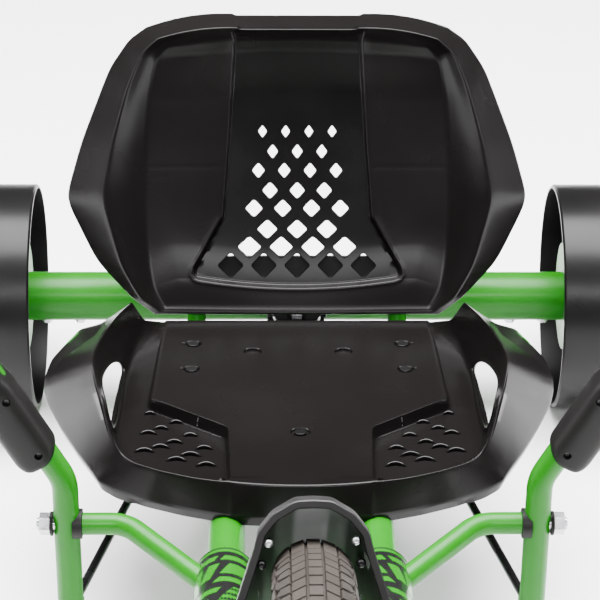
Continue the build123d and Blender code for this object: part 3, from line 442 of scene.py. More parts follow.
def cut_away(obj, cutter, self_crossing=False):
    """Subtract a closed cutter from a solid piece."""
    made = obj.modifiers.new("cut", "BOOLEAN")
    made.operation = "DIFFERENCE"
    made.solver = "EXACT"
    made.use_self = self_crossing
    made.object = cutter
    bpy.context.view_layer.update()
    baked(obj)
    bpy.data.objects.remove(cutter)
    return obj


def solidified(obj, thickness, offset=-1.0):
    made = obj.modifiers.new("wall", "SOLIDIFY")
    made.thickness = thickness * MM
    made.offset = offset
    made.use_even_offset = False
    bpy.context.view_layer.update()
    return baked(obj)


# ---------------------------------------------------------------- camera
RIGHT = Vector((0.99991, -0.01164, 0.00672)).normalized()
LOOK = Vector((0.013439, 0.865093, -0.501433)).normalized()
UP = RIGHT.cross(LOOK).normalized()
CAMERA_AT = Vector((-0.030, -1.63295, 1.410))
camera_data = bpy.data.cameras.new("camera")
camera_data.lens = 147.12
camera_data.sensor_width = 36.0
camera = bpy.data.objects.new("camera", camera_data)
bpy.context.scene.collection.objects.link(camera)
camera.matrix_world = Matrix((
    (RIGHT.x, UP.x, -LOOK.x, CAMERA_AT.x),
    (RIGHT.y, UP.y, -LOOK.y, CAMERA_AT.y),
    (RIGHT.z, UP.z, -LOOK.z, CAMERA_AT.z),
    (0, 0, 0, 1),
))
bpy.context.scene.camera = camera

# ---------------------------------------------------------------- seat back
HOLE_ROWS = [
    (182, 4, 23, 9, 13), (162, 3, 24.4, 11, 15), (143, 4, 25.7, 13, 16), (123, 3, 27, 16, 17.5),
    (105, 4, 28.7, 18, 18.5), (84, 3, 29.7, 21, 20), (66, 4, 31.7, 24, 22), (48, 5, 33.2, 25, 25),
]


def recess_floor(x):
    """Height of the recess's curved lower edge."""
    return 26 + 8 * (min(abs(x), 104) / 98) ** 2


RECESS = [(x, recess_floor(x)) for x in range(0, 99, 7)] + \
    [(102.5, 36), (104.5, 40), (103.5, 46), (75, 97), (69, 174), (61, 300)]
recess_outline = RECESS + [(-x, u) for x, u in reversed(RECESS) if x > 0]


def recess_width(u):
    """Half width of the recess at a height on the back."""
    for (x0, u0), (x1, u1) in zip(RECESS[-4:], RECESS[-3:]):
        if u <= u1:
            return x0 + (x1 - x0) * max(0.0, (u - u0) / (u1 - u0))
    return RECESS[-1][0]


def recess_depth(x, u):
    d = distance_inside((x, u), recess_outline)
    return 0.5 * math.exp(-((d + 1.5) / 1.3) ** 2) - 5.0 * smoothstep(-0.4, 3.4, d)


def seam_dent(x, u):
    """Faint witness lines in the panel."""
    dent = 0.0
    if 40 < u < 258:
        dent += math.exp(-((abs(x) - 96) / 1.4) ** 2)
    for line_u in (214, 147):
        if 76 < abs(x) < 146:
            dent += math.exp(-((u - line_u) / 1.4) ** 2)
    return -0.14 * min(dent, 1.0)


def along(line, t, per):
    """Point at station t of a line that was resampled with `per` pieces in each run."""
    at = min(t * per, len(line) - 1.001)
    return line[int(at)].lerp(line[int(at) + 1], at - int(at))


PER = 16
BACK_WALL = 3.4
STATION_U = [6, 27, 64, 116, 173, 223, 256, 268]
dish_side = [(130, 6, -15), (143, 27, -16), (149, 64, -21), (150, 116, -22), (149, 173, -22),
             (146, 223, -20), (139, 256, -16), (127, 268, -12)]
ridge_side = [(137, 3, -13), (156, 16, -8), (174, 50, -2), (192, 117, 0), (181, 175, 0),
              (166.5, 227, 0), (153, 261, 0), (137, 275, 0)]
edge_side = [(142, -0.5, -15), (166, 16, -21), (201, 51, -33), (232, 113, -41), (215.5, 170, -41),
             (187, 243, -40), (167, 272, -39), (150, 284, -38)]
dish_line = resampled(dish_side, [PER] * 7, 40)
ridge_line = resampled(ridge_side, [PER] * 7, 14)
edge_line = resampled(edge_side, [PER] * 7, 12)

row_u = [6, 10, 14, 18, 21, 23, 24.2, 25.0, 25.6, 26.2, 26.8, 27.4, 28.0, 28.7, 29.5, 31, 33]
while row_u[-1] < 265:
    row_u.append(row_u[-1] + 2.2)
row_u[-1] = 268
CENTRE_COLUMNS, WALL_COLUMNS, SIDE_COLUMNS = 34, 9, 18


def column_places(half_recess, half_side):
    """Sideways places of the grid lines: even inside the recess, close together in its wall."""
    inner = half_recess - 5.2
    outer = half_recess + 2.2
    places = [inner * j / CENTRE_COLUMNS for j in range(CENTRE_COLUMNS)]
    places += [inner + (outer - inner) * j / WALL_COLUMNS for j in range(WALL_COLUMNS)]
    places += [outer + (half_side - outer) * j / SIDE_COLUMNS for j in range(SIDE_COLUMNS + 1)]
    return [-x for x in reversed(places[1:])] + places


def station_of(u):
    for i in range(7):
        if u <= STATION_U[i + 1]:
            return i + (u - STATION_U[i]) / (STATION_U[i + 1] - STATION_U[i])
    return 7.0


points = []
rows = []
for u0 in row_u:
    t = station_of(u0)
    side = along(dish_line, t, PER)
    lift_low = smoothstep(6, 22, u0) * (1 - smoothstep(40, 105, u0))
    line = []
    for x in column_places(recess_width(u0), side.x):
        s = x / side.x
        u = side.y + (u0 - side.y) * min(1.0, (1 - abs(s)) * 6) + 8 * (1 - s * s) * smoothstep(205, 268, u0)
        u += (recess_floor(x) - 26) * lift_low * min(1.0, (1 - abs(s)) * 6)
        k = side.z + 1.2 * (s * s - 1) * math.sin(math.pi * (u0 - 6) / 262)
        k += 3.5 * (1 - s * s) * smoothstep(215, 268, u0)
        line.append((x, u, k + recess_depth(x, u) + seam_dent(x, u)))
    rows.append(line)
for line in rows:
    points.extend(back_point(*p) for p in line)
column_count = len(rows[0])
faces = grid_faces(len(rows), column_count)


def flange_path(dish, ridge, edge, back):
    """Rounded path from the panel over the ridge to the outer edge and round its rim."""
    middle = Vector(dish).lerp(Vector(ridge), 0.5)
    middle.z = dish[2] + (ridge[2] - dish[2]) * 0.40
    return rounded([dish, middle, ridge, edge, back], [14.0, 2.6, 2.2], 5, [2, 3, 7, 3])


def add_strip(paths):
    start = len(points)
    for path in paths:
        points.extend(back_point(*p) for p in path)
    faces.extend(grid_faces(len(paths), len(paths[0]), start))


for sign in (1, -1):
    strip = []
    for row, u0 in enumerate(row_u):
        t = station_of(u0)
        d = rows[row][-1]
        r, e = along(ridge_line, t, PER), along(edge_line, t, PER)
        depth = 22.0 * (1 - smoothstep(0.2, 2.6, t)) + 1.0
        back = (e.x - 1.5, e.y + (2.0 if t < 3 else -1.0), max(e.z - depth, -42.0))
        strip.append([(sign * p.x, p.y, p.z) for p in flange_path(d, r, e, back)])
    add_strip(strip)

top = []
bottom = []
for column in range(column_count):
    x, u, k = rows[-1][column]
    s = x / rows[-1][-1][0]
    arch = min(1.0, (1 - abs(s)) / 0.5)
    arch = arch * (2 - arch)
    ridge_x, edge_x = 137 * s, 150 * s
    step = -1.7 * (1 - smoothstep(61, 64.5, abs(edge_x)))
    top.append(flange_path((x, u, k), (ridge_x, 275 + 11 * arch + step, step),
                           (edge_x, 284 + 14 * arch + step, -38 + 2 * arch),
                           (edge_x, 283 + 14 * arch + step, -42)))
    x, u, k = rows[0][column]
    s = x / rows[0][-1][0]
    bottom.append(flange_path((x, u, k), (137 * s, 3 - 1.5 * (1 - s * s), -13.5),
                              (142 * s, -0.5 - 0.3 * (1 - s * s), -16), (142 * s, 1.5, -38)))
add_strip(top)
add_strip(bottom)
seat_back = shaped("seat_back_shell", points, faces, None)
tidy(seat_back.data, 8e-5)
solidified(seat_back, BACK_WALL, 1.0 if seat_back.data.polygons[0].normal.y > 0 else -1.0)


def add_prism(target_points, target_faces, rings):
    """Closed tube through rings of matched points."""
    start = len(target_points)
    n = len(rings[0])
    for ring in rings:
        target_points.extend(ring)
    target_faces.extend(grid_faces(len(rings), n, start, wrap_columns=True))
    target_faces.append(tuple(range(start + n - 1, start - 1, -1)))
    target_faces.append(tuple(start + (len(rings) - 1) * n + j for j in range(n)))


cut_points, cut_faces = [], []
for height, count, pitch, wide, tall in HOLE_ROWS:
    for i in range(count):
        middle = Vector(((i - (count - 1) / 2) * pitch, height, 0))
        corners = [middle + Vector(c) for c in
                   ((0, -tall / 2, 0), (wide / 2, 0, 0), (0, tall / 2, 0), (-wide / 2, 0, 0))]
        outline = []
        for c in range(4):
            a = corners[c] + (corners[c - 1] - corners[c]).normalized() * min(2.6, wide * 0.17)
            b = corners[c] + (corners[(c + 1) % 4] - corners[c]).normalized() * min(2.6, wide * 0.17)
            for t in (0.0, 0.33, 0.67, 1.0):
                outline.append(a.lerp(corners[c], t).lerp(corners[c].lerp(b, t), t))
        rings = []
        for k, grow in ((8.0, 1.3), (-26.0, 1.0), (-27.4, 0.0), (-50.0, 0.0)):
            ring = []
            for p in outline:
                q = p + (p - middle).normalized() * grow
                ring.append(back_point(q.x, q.y, k))
            rings.append(ring)
        add_prism(cut_points, cut_faces, rings)
cut_away(seat_back, shaped("diamond_cutter", cut_points, cut_faces, None))
seat_back.data.shade_smooth()
seat_back.data.set_sharp_from_angle(angle=math.radians(38))
seat_back.data.materials.clear()
seat_back.data.materials.append(seat_black)
seat_back.data.materials.append(seat_gloss)
settle(seat_back, "seat_back")
for face in seat_back.data.polygons:
    c = face.center / MM - BACK_ORIGIN
    u = c.y * math.sin(RECLINE) + c.z * math.cos(RECLINE)
    k = -c.y * math.cos(RECLINE) + c.z * math.sin(RECLINE)
    if u < 276 and k < -17 and distance_inside((c.x, u), recess_outline) > 2.6:
        face.material_index = 1

# ---------------------------------------------------------------- seat pan
# Matched points from the rear to the front: platform edge, foot of the wing, crest, fold and
# outer edge, each (sideways, towards the rear, up).
PAN = [
    ((131, -4, 0), (150, -50, 20), (160.3, -71.4, 48), (164.1, -69.3, 44), (166.1, -68.3, 42)),
    ((132, -30, 0), (157, -66, 6), (170.8, -112, 52), (185.4, -103, 41), (188.1, -100, 38)),
    ((133.5, -60, 0), (162, -88, -4), (179.5, -152, 55), (191, -132, 40), (210, -83, 25)),
    ((135, -95, 0), (165, -114, -9), (185.0, -190, 56), (206, -144, 33), (221.6, -108, 21)),
    ((136, -130, 0), (167, -140, -11), (187.4, -210, 56), (222, -152, 24), (234.0, -132, 15)),
    ((137, -160, 0), (168, -166, -12), (187.2, -227, 55.5), (233, -165, 13), (238.6, -158, 8.5)),
    ((138, -187, 0), (169, -195, -12), (184.2, -246, 54), (230.4, -188, 11), (237.9, -178, 4)),
    ((120, -202, 0), (169, -222, -12), (180.4, -265.6, 49), (224.9, -211, 7), (232.2, -202, 0)),
    ((92, -226, 0), (167, -248, -12), (175.6, -282, 41), (212.4, -241.6, -1), (218.4, -235, -8)),
    ((65, -249, 0), (163, -270, -12), (169.9, -295.8, 25), (197.0, -275.6, -8.5), (201.4, -272.3, -14)),
    ((64, -275, 0), (157, -286, -12), (163.9, -305.3, 11), (184.0, -298.4, -15.7), (187.3, -297.3, -20)),
    ((63, -300, 0), (150, -297, -12), (157.6, -311, 3), (177.0, -310.4, -20.2), (180.0, -310.4, -24)),
    ((62.5, -320, 0), (138, -306, -12), (146.5, -322.8, 1), (163.9, -319.3, -23.9), (166.7, -318.7, -28)),
    ((62, -335, 0), (115, -319, -12), (123.2, -337.5, 0.5), (138.9, -333.8, -25.7), (141.4, -333.2, -30)),
    ((61.5, -344, 0), (85, -333, -12), (94.1, -350.1, 0), (105.6, -350.3, -25.8), (107.5, -350.3, -30)),
    ((61, -348, 0), (68, -341, -11), (72.4, -355.9, 0), (78.5, -360.0, -25.8), (79.5, -360.7, -30)),
    ((61, -350, 0), (61.6, -350, 0), (63.7, -357.8, 0), (65.2, -363.6, -25.8), (65.5, -364.5, -30)),
]
pan_pieces = [7, 7, 6, 5, 4, 4, 5, 6, 6, 5, 5, 5, 6, 6, 5, 3]
pan_lines = []
for ring in range(5):
    pan_lines.append(resampled([row[ring] for row in PAN], pan_pieces, (1, 3, 2, 1, 1)[ring]))
pan_rows = len(pan_lines[0])
PLATFORM_COLUMNS = 40
PAN_WALL = 3.2


def lowered(edge):
    """Lower end of the skirt under an outer edge."""
    x = edge.x - 4.0 if edge.x > 70 else edge.x
    y = edge.y + 2.5 if edge.x < 150 else edge.y
    return Vector((x, y, edge.z - 9))


def sunken(p, f):
    """Start of the sunken floor beside the platform edge."""
    drop = min(12.0, 0.35 * (Vector((f[0] - p[0], f[1] - p[1], 0))).length)
    away = Vector((f[0] - p[0], f[1] - p[1], 0))
    reach = min(2.2, away.length * 0.4)
    foot = -0.5 if f[2] > 0 else f[2]
    return Vector(p) + away.normalized() * reach + Vector((0, 0, max(-drop, foot)))


def pan_path(p, f, c, m, o):
    return rounded([p, sunken(p, f), f, c, m, o, lowered(o)], [2.4, 6.0, 2.4, 1.8, 2.2], 5,
                   [1, 10, 8, 6, 3, 3])


points, faces = [], []
for sign in (1, -1):
    start = len(points)
    for row in range(pan_rows):
        p, f, c, m, o = (line[row] for line in pan_lines)
        middle = Vector((0, p.y if row < pan_rows - 1 else -350, 0))
        rim = p + Vector((-1.0, 0, 0))
        line = [middle.lerp(rim, j / PLATFORM_COLUMNS) for j in range(PLATFORM_COLUMNS + 1)]
        line += pan_path(p + Vector((0.2, 0, -0.5)), f, c, m, o)
        points.extend(pan_point(sign * q.x, q.y, q.z) for q in line)
    faces.extend(grid_faces(pan_rows, len(line), start))
    # Front centre: the platform runs straight over the front edge into the apron.
    start = len(points)
    for j in range(PLATFORM_COLUMNS + 1):
        t = j / PLATFORM_COLUMNS
        proud = 1.6 * (1 - smoothstep(0.93, 1.0, t))
        p = Vector((60.0 * t if j < PLATFORM_COLUMNS else 61.2, -350, -0.5 * t))
        f = p + Vector((0.4 * t, 0.4 * (t - 1), 0))
        c = Vector((63.7 * t, -365.5 + 7.7 * t * t - proud * 0.5, 0))
        o = Vector((65.5 * t, -369 + 4.5 * t * t - proud, -30))
        line = rounded([p, p.lerp(f, 0.5), f, c, c.lerp(o, 0.86), o, lowered(o)],
                       [2.4, 6.0, 2.4, 1.8, 2.2], 5, [1, 10, 8, 6, 3, 3])
        points.extend(pan_point(sign * q.x, q.y, q.z) for q in line)
    faces.extend(grid_faces(PLATFORM_COLUMNS + 1, len(line), start))
seat_pan = shaped("seat_pan_shell", points, faces, None)
tidy(seat_pan.data, 3e-4)
floor_face = min(seat_pan.data.polygons, key=lambda q: (q.center - pan_point(30, -150, 0) * MM).length)
solidified(seat_pan, PAN_WALL, -1.0 if floor_face.normal.z > 0 else 1.0)

# Openings in the inner walls of the wings, bolt recesses, drain holes and the pocket scales.
OPENING = [
    (180.1, -226, 36), (179.2, -194, 30), (176.0, -164, 23.5), (171.6, -138.5, 15.4),
    (168.0, -121, 5), (166.0, -118, -3), (166.0, -150, -6), (166.0, -188, -6), (166.5, -222, -5),
    (168.0, -244, -2), (169.7, -254.3, 5), (172.5, -259.5, 19), (175.0, -255.4, 29),
    (178.5, -244.7, 35.4),
]
SCALES = [
    (129.5, -189.0, 9), (138.3, -196.7, 11), (103.0, -201.1, 9), (113.6, -216.1, 13),
    (89.5, -224.7, 12), (126.8, -228.9, 15), (138.2, -239.4, 17), (99.9, -243.6, 15),
    (113.9, -258.1, 17), (126.2, -268.4, 19), (86.6, -270.5, 17), (140.1, -276.5, 20),
    (98.7, -284.7, 21), (110.9, -294.7, 21), (84.0, -304.7, 20),
]
OPENING = [(x, -188 + (v + 188) * 1.08, 15 + (h - 15) * 1.16) for x, v, h in OPENING]
cut_points, cut_faces = [], []
for sign in (1, -1):
    add_prism(cut_points, cut_faces, [
        [pan_point(sign * (x + reach), v, h) for x, v, h in OPENING] for reach in (-15, 13)
    ])
    for x, v, wide in SCALES:
        half = wide / 2 - 1
        arc = [(half * (2 * i / 8 - 1), 0.34 * wide * (1 - abs(2 * i / 8 - 1) ** 1.7)) for i in range(9)]
        inner = [(0.86 * a, 0.42 * b - 0.8) for a, b in reversed(arc)]
        add_prism(cut_points, cut_faces, [
            [pan_point(sign * (x + a), v + b - 1.4, h) for a, b in arc + inner] for h in (-2.0, -14.4)
        ])
ROUND_HOLES = [(102 * s, v, 7.6, -2.6) for s in (1, -1) for v in (-62, -122)] + \
    [(44 * s, -80, 8.3, -2.6) for s in (1, -1)] + [(0, -260, 8.8, -2.6)] + \
    [(110.5 * s, v + 1, 2.2, -1.6) for s in (1, -1) for v in (-62, -122)]
for x, v, size, depth in ROUND_HOLES:
    rings = []
    for h, grow in ((2.0, 2.6), (-0.9, 0.0), (depth, 0.0)):
        rings.append([pan_point(x + (size + grow) * math.cos(2 * math.pi * i / 28),
                                v + (size + grow) * math.sin(2 * math.pi * i / 28), h) for i in range(28)])
    add_prism(cut_points, cut_faces, rings)
cut_away(seat_pan, shaped("pan_cutter", cut_points, cut_faces, None), True)
seat_pan.data.shade_smooth()
seat_pan.data.set_sharp_from_angle(angle=math.radians(40))
settle(seat_pan, "seat_pan", material=seat_black)

# Raised lips over the pocket scales.
points, faces = [], []
for sign in (1, -1):
    for x, v, wide in SCALES:
        half = wide / 2
        start = len(points)
        steps = 12
        for i in range(steps + 1):
            t = 2 * i / steps - 1
            a = half * t
            b = 0.34 * wide * (1 - abs(t) ** 1.7) - 1.2
            tall = 1.7 * (1 - abs(t) ** 3) + 0.15
            for db, dh in ((-0.9, -0.4), (-0.7, tall * 0.8), (0.0, tall), (1.3, tall * 0.55), (3.2, -0.3)):
                points.append(pan_point(sign * (x + a), v + b + db, -12 + dh))
        faces.extend(grid_faces(steps + 1, 5, start))
        faces.append(tuple(start + j for j in range(5)))
        faces.append(tuple(start + steps * 5 + j for j in reversed(range(5))))
scales = shaped("pocket_scales", points, faces, 40)
settle(scales, "seat_pan", replaces=False, material=seat_black)


def corners_cut(loop):
    """Closed loop with every corner cut a quarter of the way along its sides."""
    softer = []
    for here, there in zip(loop, loop[1:] + loop[:1]):
        softer.append(here.lerp(there, 0.25))
        softer.append(here.lerp(there, 0.75))
    return softer


# Rolled bead round each wing opening.
for side, sign in SIDES:
    curve = bpy.data.curves.new("wing_bead_" + side, "CURVE")
    curve.dimensions = "3D"
    curve.bevel_depth = 1.9 * MM
    curve.bevel_resolution = 4
    spline = curve.splines.new("POLY")
    loop = [Vector(p) for p in OPENING]
    loop = corners_cut(corners_cut(loop))
    spline.points.add(len(loop) - 1)
    for i, q in enumerate(loop):
        spline.points[i].co = (*(pan_point(sign * (q.x + 0.6), q.y, q.z) * MM), 1)
    spline.use_cyclic_u = True
    bead = link_object("wing_bead_" + side, curve)
    mesh = bpy.data.meshes.new_from_object(bead.evaluated_get(bpy.context.evaluated_depsgraph_get()))
    bpy.data.objects.remove(bead)
    mesh.materials.clear()
    mesh.shade_smooth()
    settle(link_object("wing_bead_" + side, mesh), "seat_pan", replaces=False, material=seat_black)

# Plain green mark on the outer face of each wing.
tree = BVHTree.FromPolygons(
    [v.co for v in seat_pan.data.vertices], [tuple(q.vertices) for q in seat_pan.data.polygons]
)
points, faces = [], []
for sign in (1, -1):
    start = len(points)
    for i in range(9):
        t = i / 8
        for across in (-1, 0, 1):
            wide = 1.9 * math.sin(math.pi * min(max(t, 0.06), 0.94)) ** 0.6
            x = 222 - 12 * t + across * wide * 0.7
            aim = pan_point(sign * x, -118 + 21 * t + across * wide, 40) * MM
            at, normal = tree.ray_cast(aim, Vector((0, 0, -1)))[:2]
            if at is None:
                at, normal = tree.find_nearest(aim)[:2]
            if normal.z < 0:
                normal = -normal
            points.append((at + normal * 0.00035) / MM)
    faces.extend(grid_faces(9, 3, start))
mark = shaped("wing_marks", points, faces, 60)
settle(mark, "seat_pan", replaces=False, material=decal_green)
print("seat pan faces", len(seat_pan.data.polygons), "seat back faces", len(seat_back.data.polygons))

# ---------------------------------------------------------------- front tyre
CASING_R = 26.2
SECTION_Z = FRONT_R - 28.5


def tread_point(s, w, h):
    """Point on the tyre: s round it, w across the tread, h above the casing, all along the surface."""
    phi = w / 28.5
    r = SECTION_Z + (CASING_R + h) * math.cos(phi)
    return wheel_point((CASING_R + h) * math.sin(phi), r, math.degrees(s / FRONT_R))


loop = []
for i in range(49):
    phi = math.radians(-136 + 272 * i / 48)
    loop.append((CASING_R * math.sin(phi), SECTION_Z + CASING_R * math.cos(phi)))
loop += [(13.6, 209.2), (13.4, 203.4), (9.0, 203.4), (9.0, 206.5)]
for i in range(31):
    phi = math.radians(128 - 256 * i / 30)
    loop.append((24.0 * math.sin(phi), SECTION_Z + 24.0 * math.cos(phi)))
loop += [(-9.0, 206.5), (-9.0, 203.4), (-13.4, 203.4), (-13.6, 209.2)]
points, faces = [], []
TURNS = 144
for i in range(TURNS):
    points.extend(wheel_point(x, r, 360 * i / TURNS) for x, r in loop)
faces.extend(grid_faces(TURNS, len(loop), 0, wrap_rows=True, wrap_columns=True))


def add_block(outline, tall, taper=0.45, sink=0.8):
    """One tread block with sloped sides, from its outline in (round, across)."""
    cs = sum(p[0] for p in outline) / len(outline)
    cw = sum(p[1] for p in outline) / len(outline)
    start = len(points)
    n = len(outline)
    for h, grow in ((-sink, taper), (tall - 0.35, 0.0), (tall, -0.35)):
        for s0, w0 in outline:
            ds, dw = s0 - cs, w0 - cw
            length = math.hypot(ds, dw)
            points.append(tread_point(s0 + ds / length * grow, w0 + dw / length * grow, h))
    faces.extend(grid_faces(3, n, start, wrap_columns=True))
    faces.append(tuple(start + 2 * n + j for j in range(n)))


ROWS = 124
PITCH = 2 * math.pi * FRONT_R / ROWS
PAIR = 2 * PITCH
TALL = 2.3
for i in range(ROWS):
    s0 = i * PITCH
    gap = 0.85
    add_block([(s0 + gap, -4.4), (s0 + gap, 4.4), (s0 + PITCH - gap, 4.4), (s0 + PITCH - gap, -4.4)], TALL)
    for sign in (1, -1):
        shift = PITCH / 2 if sign > 0 else 0.0
        skew = 2.2
        near = s0 + gap + shift
        far = s0 + PITCH - gap + shift
        add_block([(near, sign * 6.3), (near - skew, sign * 15.4),
                   (far - skew, sign * 15.4), (far, sign * 6.3)], TALL)
        # Curved shoulder blocks, one for every two rows.
        if i % 2 == 0:
            inner = [(PAIR * 0.04, 17.2), (PAIR * 0.10, 22.0), (PAIR * 0.26, 27.0), (PAIR * 0.52, 30.5)]
            outer = [(PAIR * 0.86, 30.5), (PAIR * 0.62, 25.5), (PAIR * 0.50, 21.0), (PAIR * 0.46, 17.2)]
            add_block([(s0 + shift - skew + a, sign * b) for a, b in inner + outer], TALL * 0.95)
            second = [(PAIR * 0.55, 17.2), (PAIR * 0.60, 20.5), (PAIR * 0.74, 25.0), (PAIR * 0.97, 29.0),
                      (PAIR * 1.08, 25.0), (PAIR * 1.00, 20.5), (PAIR * 0.95, 17.2)]
            add_block([(s0 + shift - skew + a, sign * b) for a, b in second], TALL * 0.95)
            third = [(PAIR * 0.10, 31.6), (PAIR * 0.02, 35.8), (PAIR * 0.50, 39.5), (PAIR * 0.86, 37.0),
                     (PAIR * 0.72, 32.2)]
            add_block([(s0 + shift - skew + a, sign * b) for a, b in third], TALL * 0.8)
tyre = shaped("front_tyre_tread", points, faces, 30)
settle(tyre, "front_tyre")

# ---------------------------------------------------------------- fender
LIP_ANGLE = 26.7
FENDER_OUT = [(0, 285), (12, 284.2), (27, 275.5), (36, 264), (39, 252)]
CHEEK_OUT = [(39, 252), (48, 224), (58, 192)]
FENDER_IN = [(0, 279.4), (10.6, 278.8), (23.5, 271.2), (31.2, 261.4), (33.8, 250.8)]
CHEEK_IN = [(33.8, 250.8), (42.8, 222.6), (52.6, 190.6)]


def shell_of(name, outer, inner, start_angle, end_angle, node, mirror_too):
    """Skin with a thicker, bevelled front lip, swept round the front axle."""
    if mirror_too:
        outer = [(-x, r) for x, r in reversed(outer) if x > 0] + outer
        inner = [(-x, r) for x, r in reversed(inner) if x > 0] + inner
    outer = resampled([(x, r, 0) for x, r in outer], [6] * (len(outer) - 1), 1)
    inner = resampled([(x, r, 0) for x, r in inner], [6] * (len(inner) - 1), 1)
    steps = 44
    lip = math.degrees(7.0 / 270)
    wall = 0.62
    verts = []
    columns = len(outer)

    def ring_at(angle, share):
        for a, b in zip(outer, inner):
            q = a.lerp(b, share)
            verts.append(wheel_point(q.x, q.y, angle))

    soft = math.degrees(0.9 / 270)
    for i in range(steps, 0, -1):
        ring_at(start_angle + (end_angle - start_angle) * i / steps, wall)
    ring_at(start_angle + lip * 1.5, wall)
    ring_at(start_angle + lip, wall + 0.1)
    ring_at(start_angle + lip * 0.9, 1.0)
    ring_at(start_angle + soft, 1.0)
    ring_at(start_angle, 0.86)
    ring_at(start_angle, 0.14)
    ring_at(start_angle + soft, 0.0)
    for i in range(1, steps + 1):
        ring_at(start_angle + (end_angle - start_angle) * i / steps, 0.0)
    count = len(verts) // columns
    polys = grid_faces(count, columns, 0, wrap_rows=True)
    polys.append(tuple(i * columns for i in range(count)))
    polys.append(tuple(i * columns + columns - 1 for i in reversed(range(count))))
    made = shaped(name, verts, polys, 30)
    settle(made, node)
    return made


shell_of("fender_shell", FENDER_OUT, FENDER_IN, LIP_ANGLE, 80, "fender", True)
for side, sign in SIDES:
    cheek_out = [(sign * x, r) for x, r in CHEEK_OUT]
    cheek_in = [(sign * x, r) for x, r in CHEEK_IN]
    shell_of("cheek_shell_" + side, cheek_out, cheek_in, LIP_ANGLE, 74, "fender_cheek_" + side, False)


def add_screw(points, faces, at, axis, size, tall, sides=20):
    """Pan-head screw with a small socket."""
    axis = Vector(axis).normalized()
    a = axis.orthogonal().normalized()
    b = axis.cross(a)
    rings = []
    for r, t in ((size, 0), (size, 0.45 * tall), (size * 0.82, 0.85 * tall), (size * 0.55, tall),
                 (size * 0.42, tall), (size * 0.40, 0.35 * tall)):
        ring = []
        for i in range(sides):
            turn = 2 * math.pi * i / sides
            ring.append(Vector(at) + (a * math.cos(turn) + b * math.sin(turn)) * r + axis * t)
        rings.append(ring)
    add_prism(points, faces, rings)


lip_axis = Vector((0, -math.cos(math.radians(LIP_ANGLE)), math.sin(math.radians(LIP_ANGLE))))
for name, places, paint in (("fender_screws", [(29.5, 262.0), (-31.0, 260.5)], zinc),
                            ("fender_rivets", [(33.0, 247.5), (-36.0, 246.5)], black_gloss)):
    points, faces = [], []
    for x, r in places:
        base = wheel_point(x * 0.93, r - 4.5, 28.6)
        add_screw(points, faces, base, lip_axis, 3.2, 2.6)
    screws = shaped(name, points, faces, 30)
    settle(screws, "fender", replaces=False, material=paint, slot="zinc")

# ---------------------------------------------------------------- lever shrouds and grips
SHROUD_START, SHROUD_LENGTH = 26.3, 142.6
for side, sign in SIDES:
    points, faces = [], []
    count = 40
    ring_sides = 44
    for i in range(count + 1):
        s = SHROUD_LENGTH * (i / count) ** 1.35
        low_round = 15.0
        cut = 0.0 if s > low_round else low_round - math.sqrt(low_round ** 2 - (low_round - s) ** 2)
        edge_round = 5.0
        thin = 0.0 if s > edge_round else edge_round - math.sqrt(edge_round ** 2 - (edge_round - s) ** 2)
        inner = -12.9 + 2.6 * smoothstep(76, 92, s) + cut
        outer = 24.9 - 0.6 * cut
        half = 18.0 - thin
        mid, wide = (inner + outer) / 2, (outer - inner) / 2
        for j in range(ring_sides):
            a = 2 * math.pi * j / ring_sides
            ca, sa = math.cos(a), math.sin(a)
            n = mid + wide * math.copysign(abs(ca) ** 0.62, ca)
            f = half * math.copysign(abs(sa) ** 0.62, sa)
            points.append(lever_point(sign, SHROUD_START + s, n, f))
    faces = grid_faces(count + 1, ring_sides, 0, wrap_columns=True)
    faces.append(tuple(reversed(range(ring_sides))))
    faces.append(tuple(count * ring_sides + j for j in range(ring_sides)))
    shroud = shaped("shroud_" + side, points, faces, 40)
    cut_points, cut_faces = [], []
    for s, n in ((40, 0.0), (97, -4.0)):
        rings = []
        for f, r in ((24, 3.4), (13.5, 3.4)):
            rings.append([lever_point(sign, s + r * math.sin(2 * math.pi * k / 20),
                                      n + r * math.cos(2 * math.pi * k / 20), f) for k in range(20)])
        add_prism(cut_points, cut_faces, rings)
    cut_away(shroud, shaped("shroud_cutter", cut_points, cut_faces, None))
    shroud.data.shade_smooth()
    shroud.data.set_sharp_from_angle(angle=math.radians(35))
    settle(shroud, "lever_shroud_" + side)
    points, faces = [], []
    for s, n in ((40, 0.0), (97, -4.0)):
        add_screw(points, faces, lever_point(sign, s, n, 13.4), (0, -1, 0), 2.9, 1.8)
    screws = shaped("shroud_screws_" + side, points, faces, 30)
    settle(screws, "lever_shroud_" + side, replaces=False, material=black_gloss, slot="zinc")

    # Ribbed grip with a flange at its lower end and a domed end.
    points, faces = [], []
    count, ring_sides = 150, 40
    for i in range(count + 1):
        t = 104.0 * i / count
        r = 16.0
        if t < 5:
            r = 16.0
        elif t > 99:
            r = 16.0 * math.sqrt(max(0.0, 1 - ((t - 99) / 5.2) ** 2)) * 0.93 + 0.4
        else:
            wave = 0.5 + 0.5 * math.cos(2 * math.pi * (t - 5) / 5.5)
            r = 14.2 + 1.3 * wave ** 0.6
        for j in range(ring_sides):
            a = 2 * math.pi * j / ring_sides
            points.append(lever_point(sign, 172.0 + t, r * math.cos(a), r * math.sin(a)))
    faces = grid_faces(count + 1, ring_sides, 0, wrap_columns=True)
    faces.append(tuple(reversed(range(ring_sides))))
    faces.append(tuple(count * ring_sides + j for j in range(ring_sides)))
    grip = shaped("grip_" + side, points, faces, 50)
    settle(grip, "handgrip_" + side)

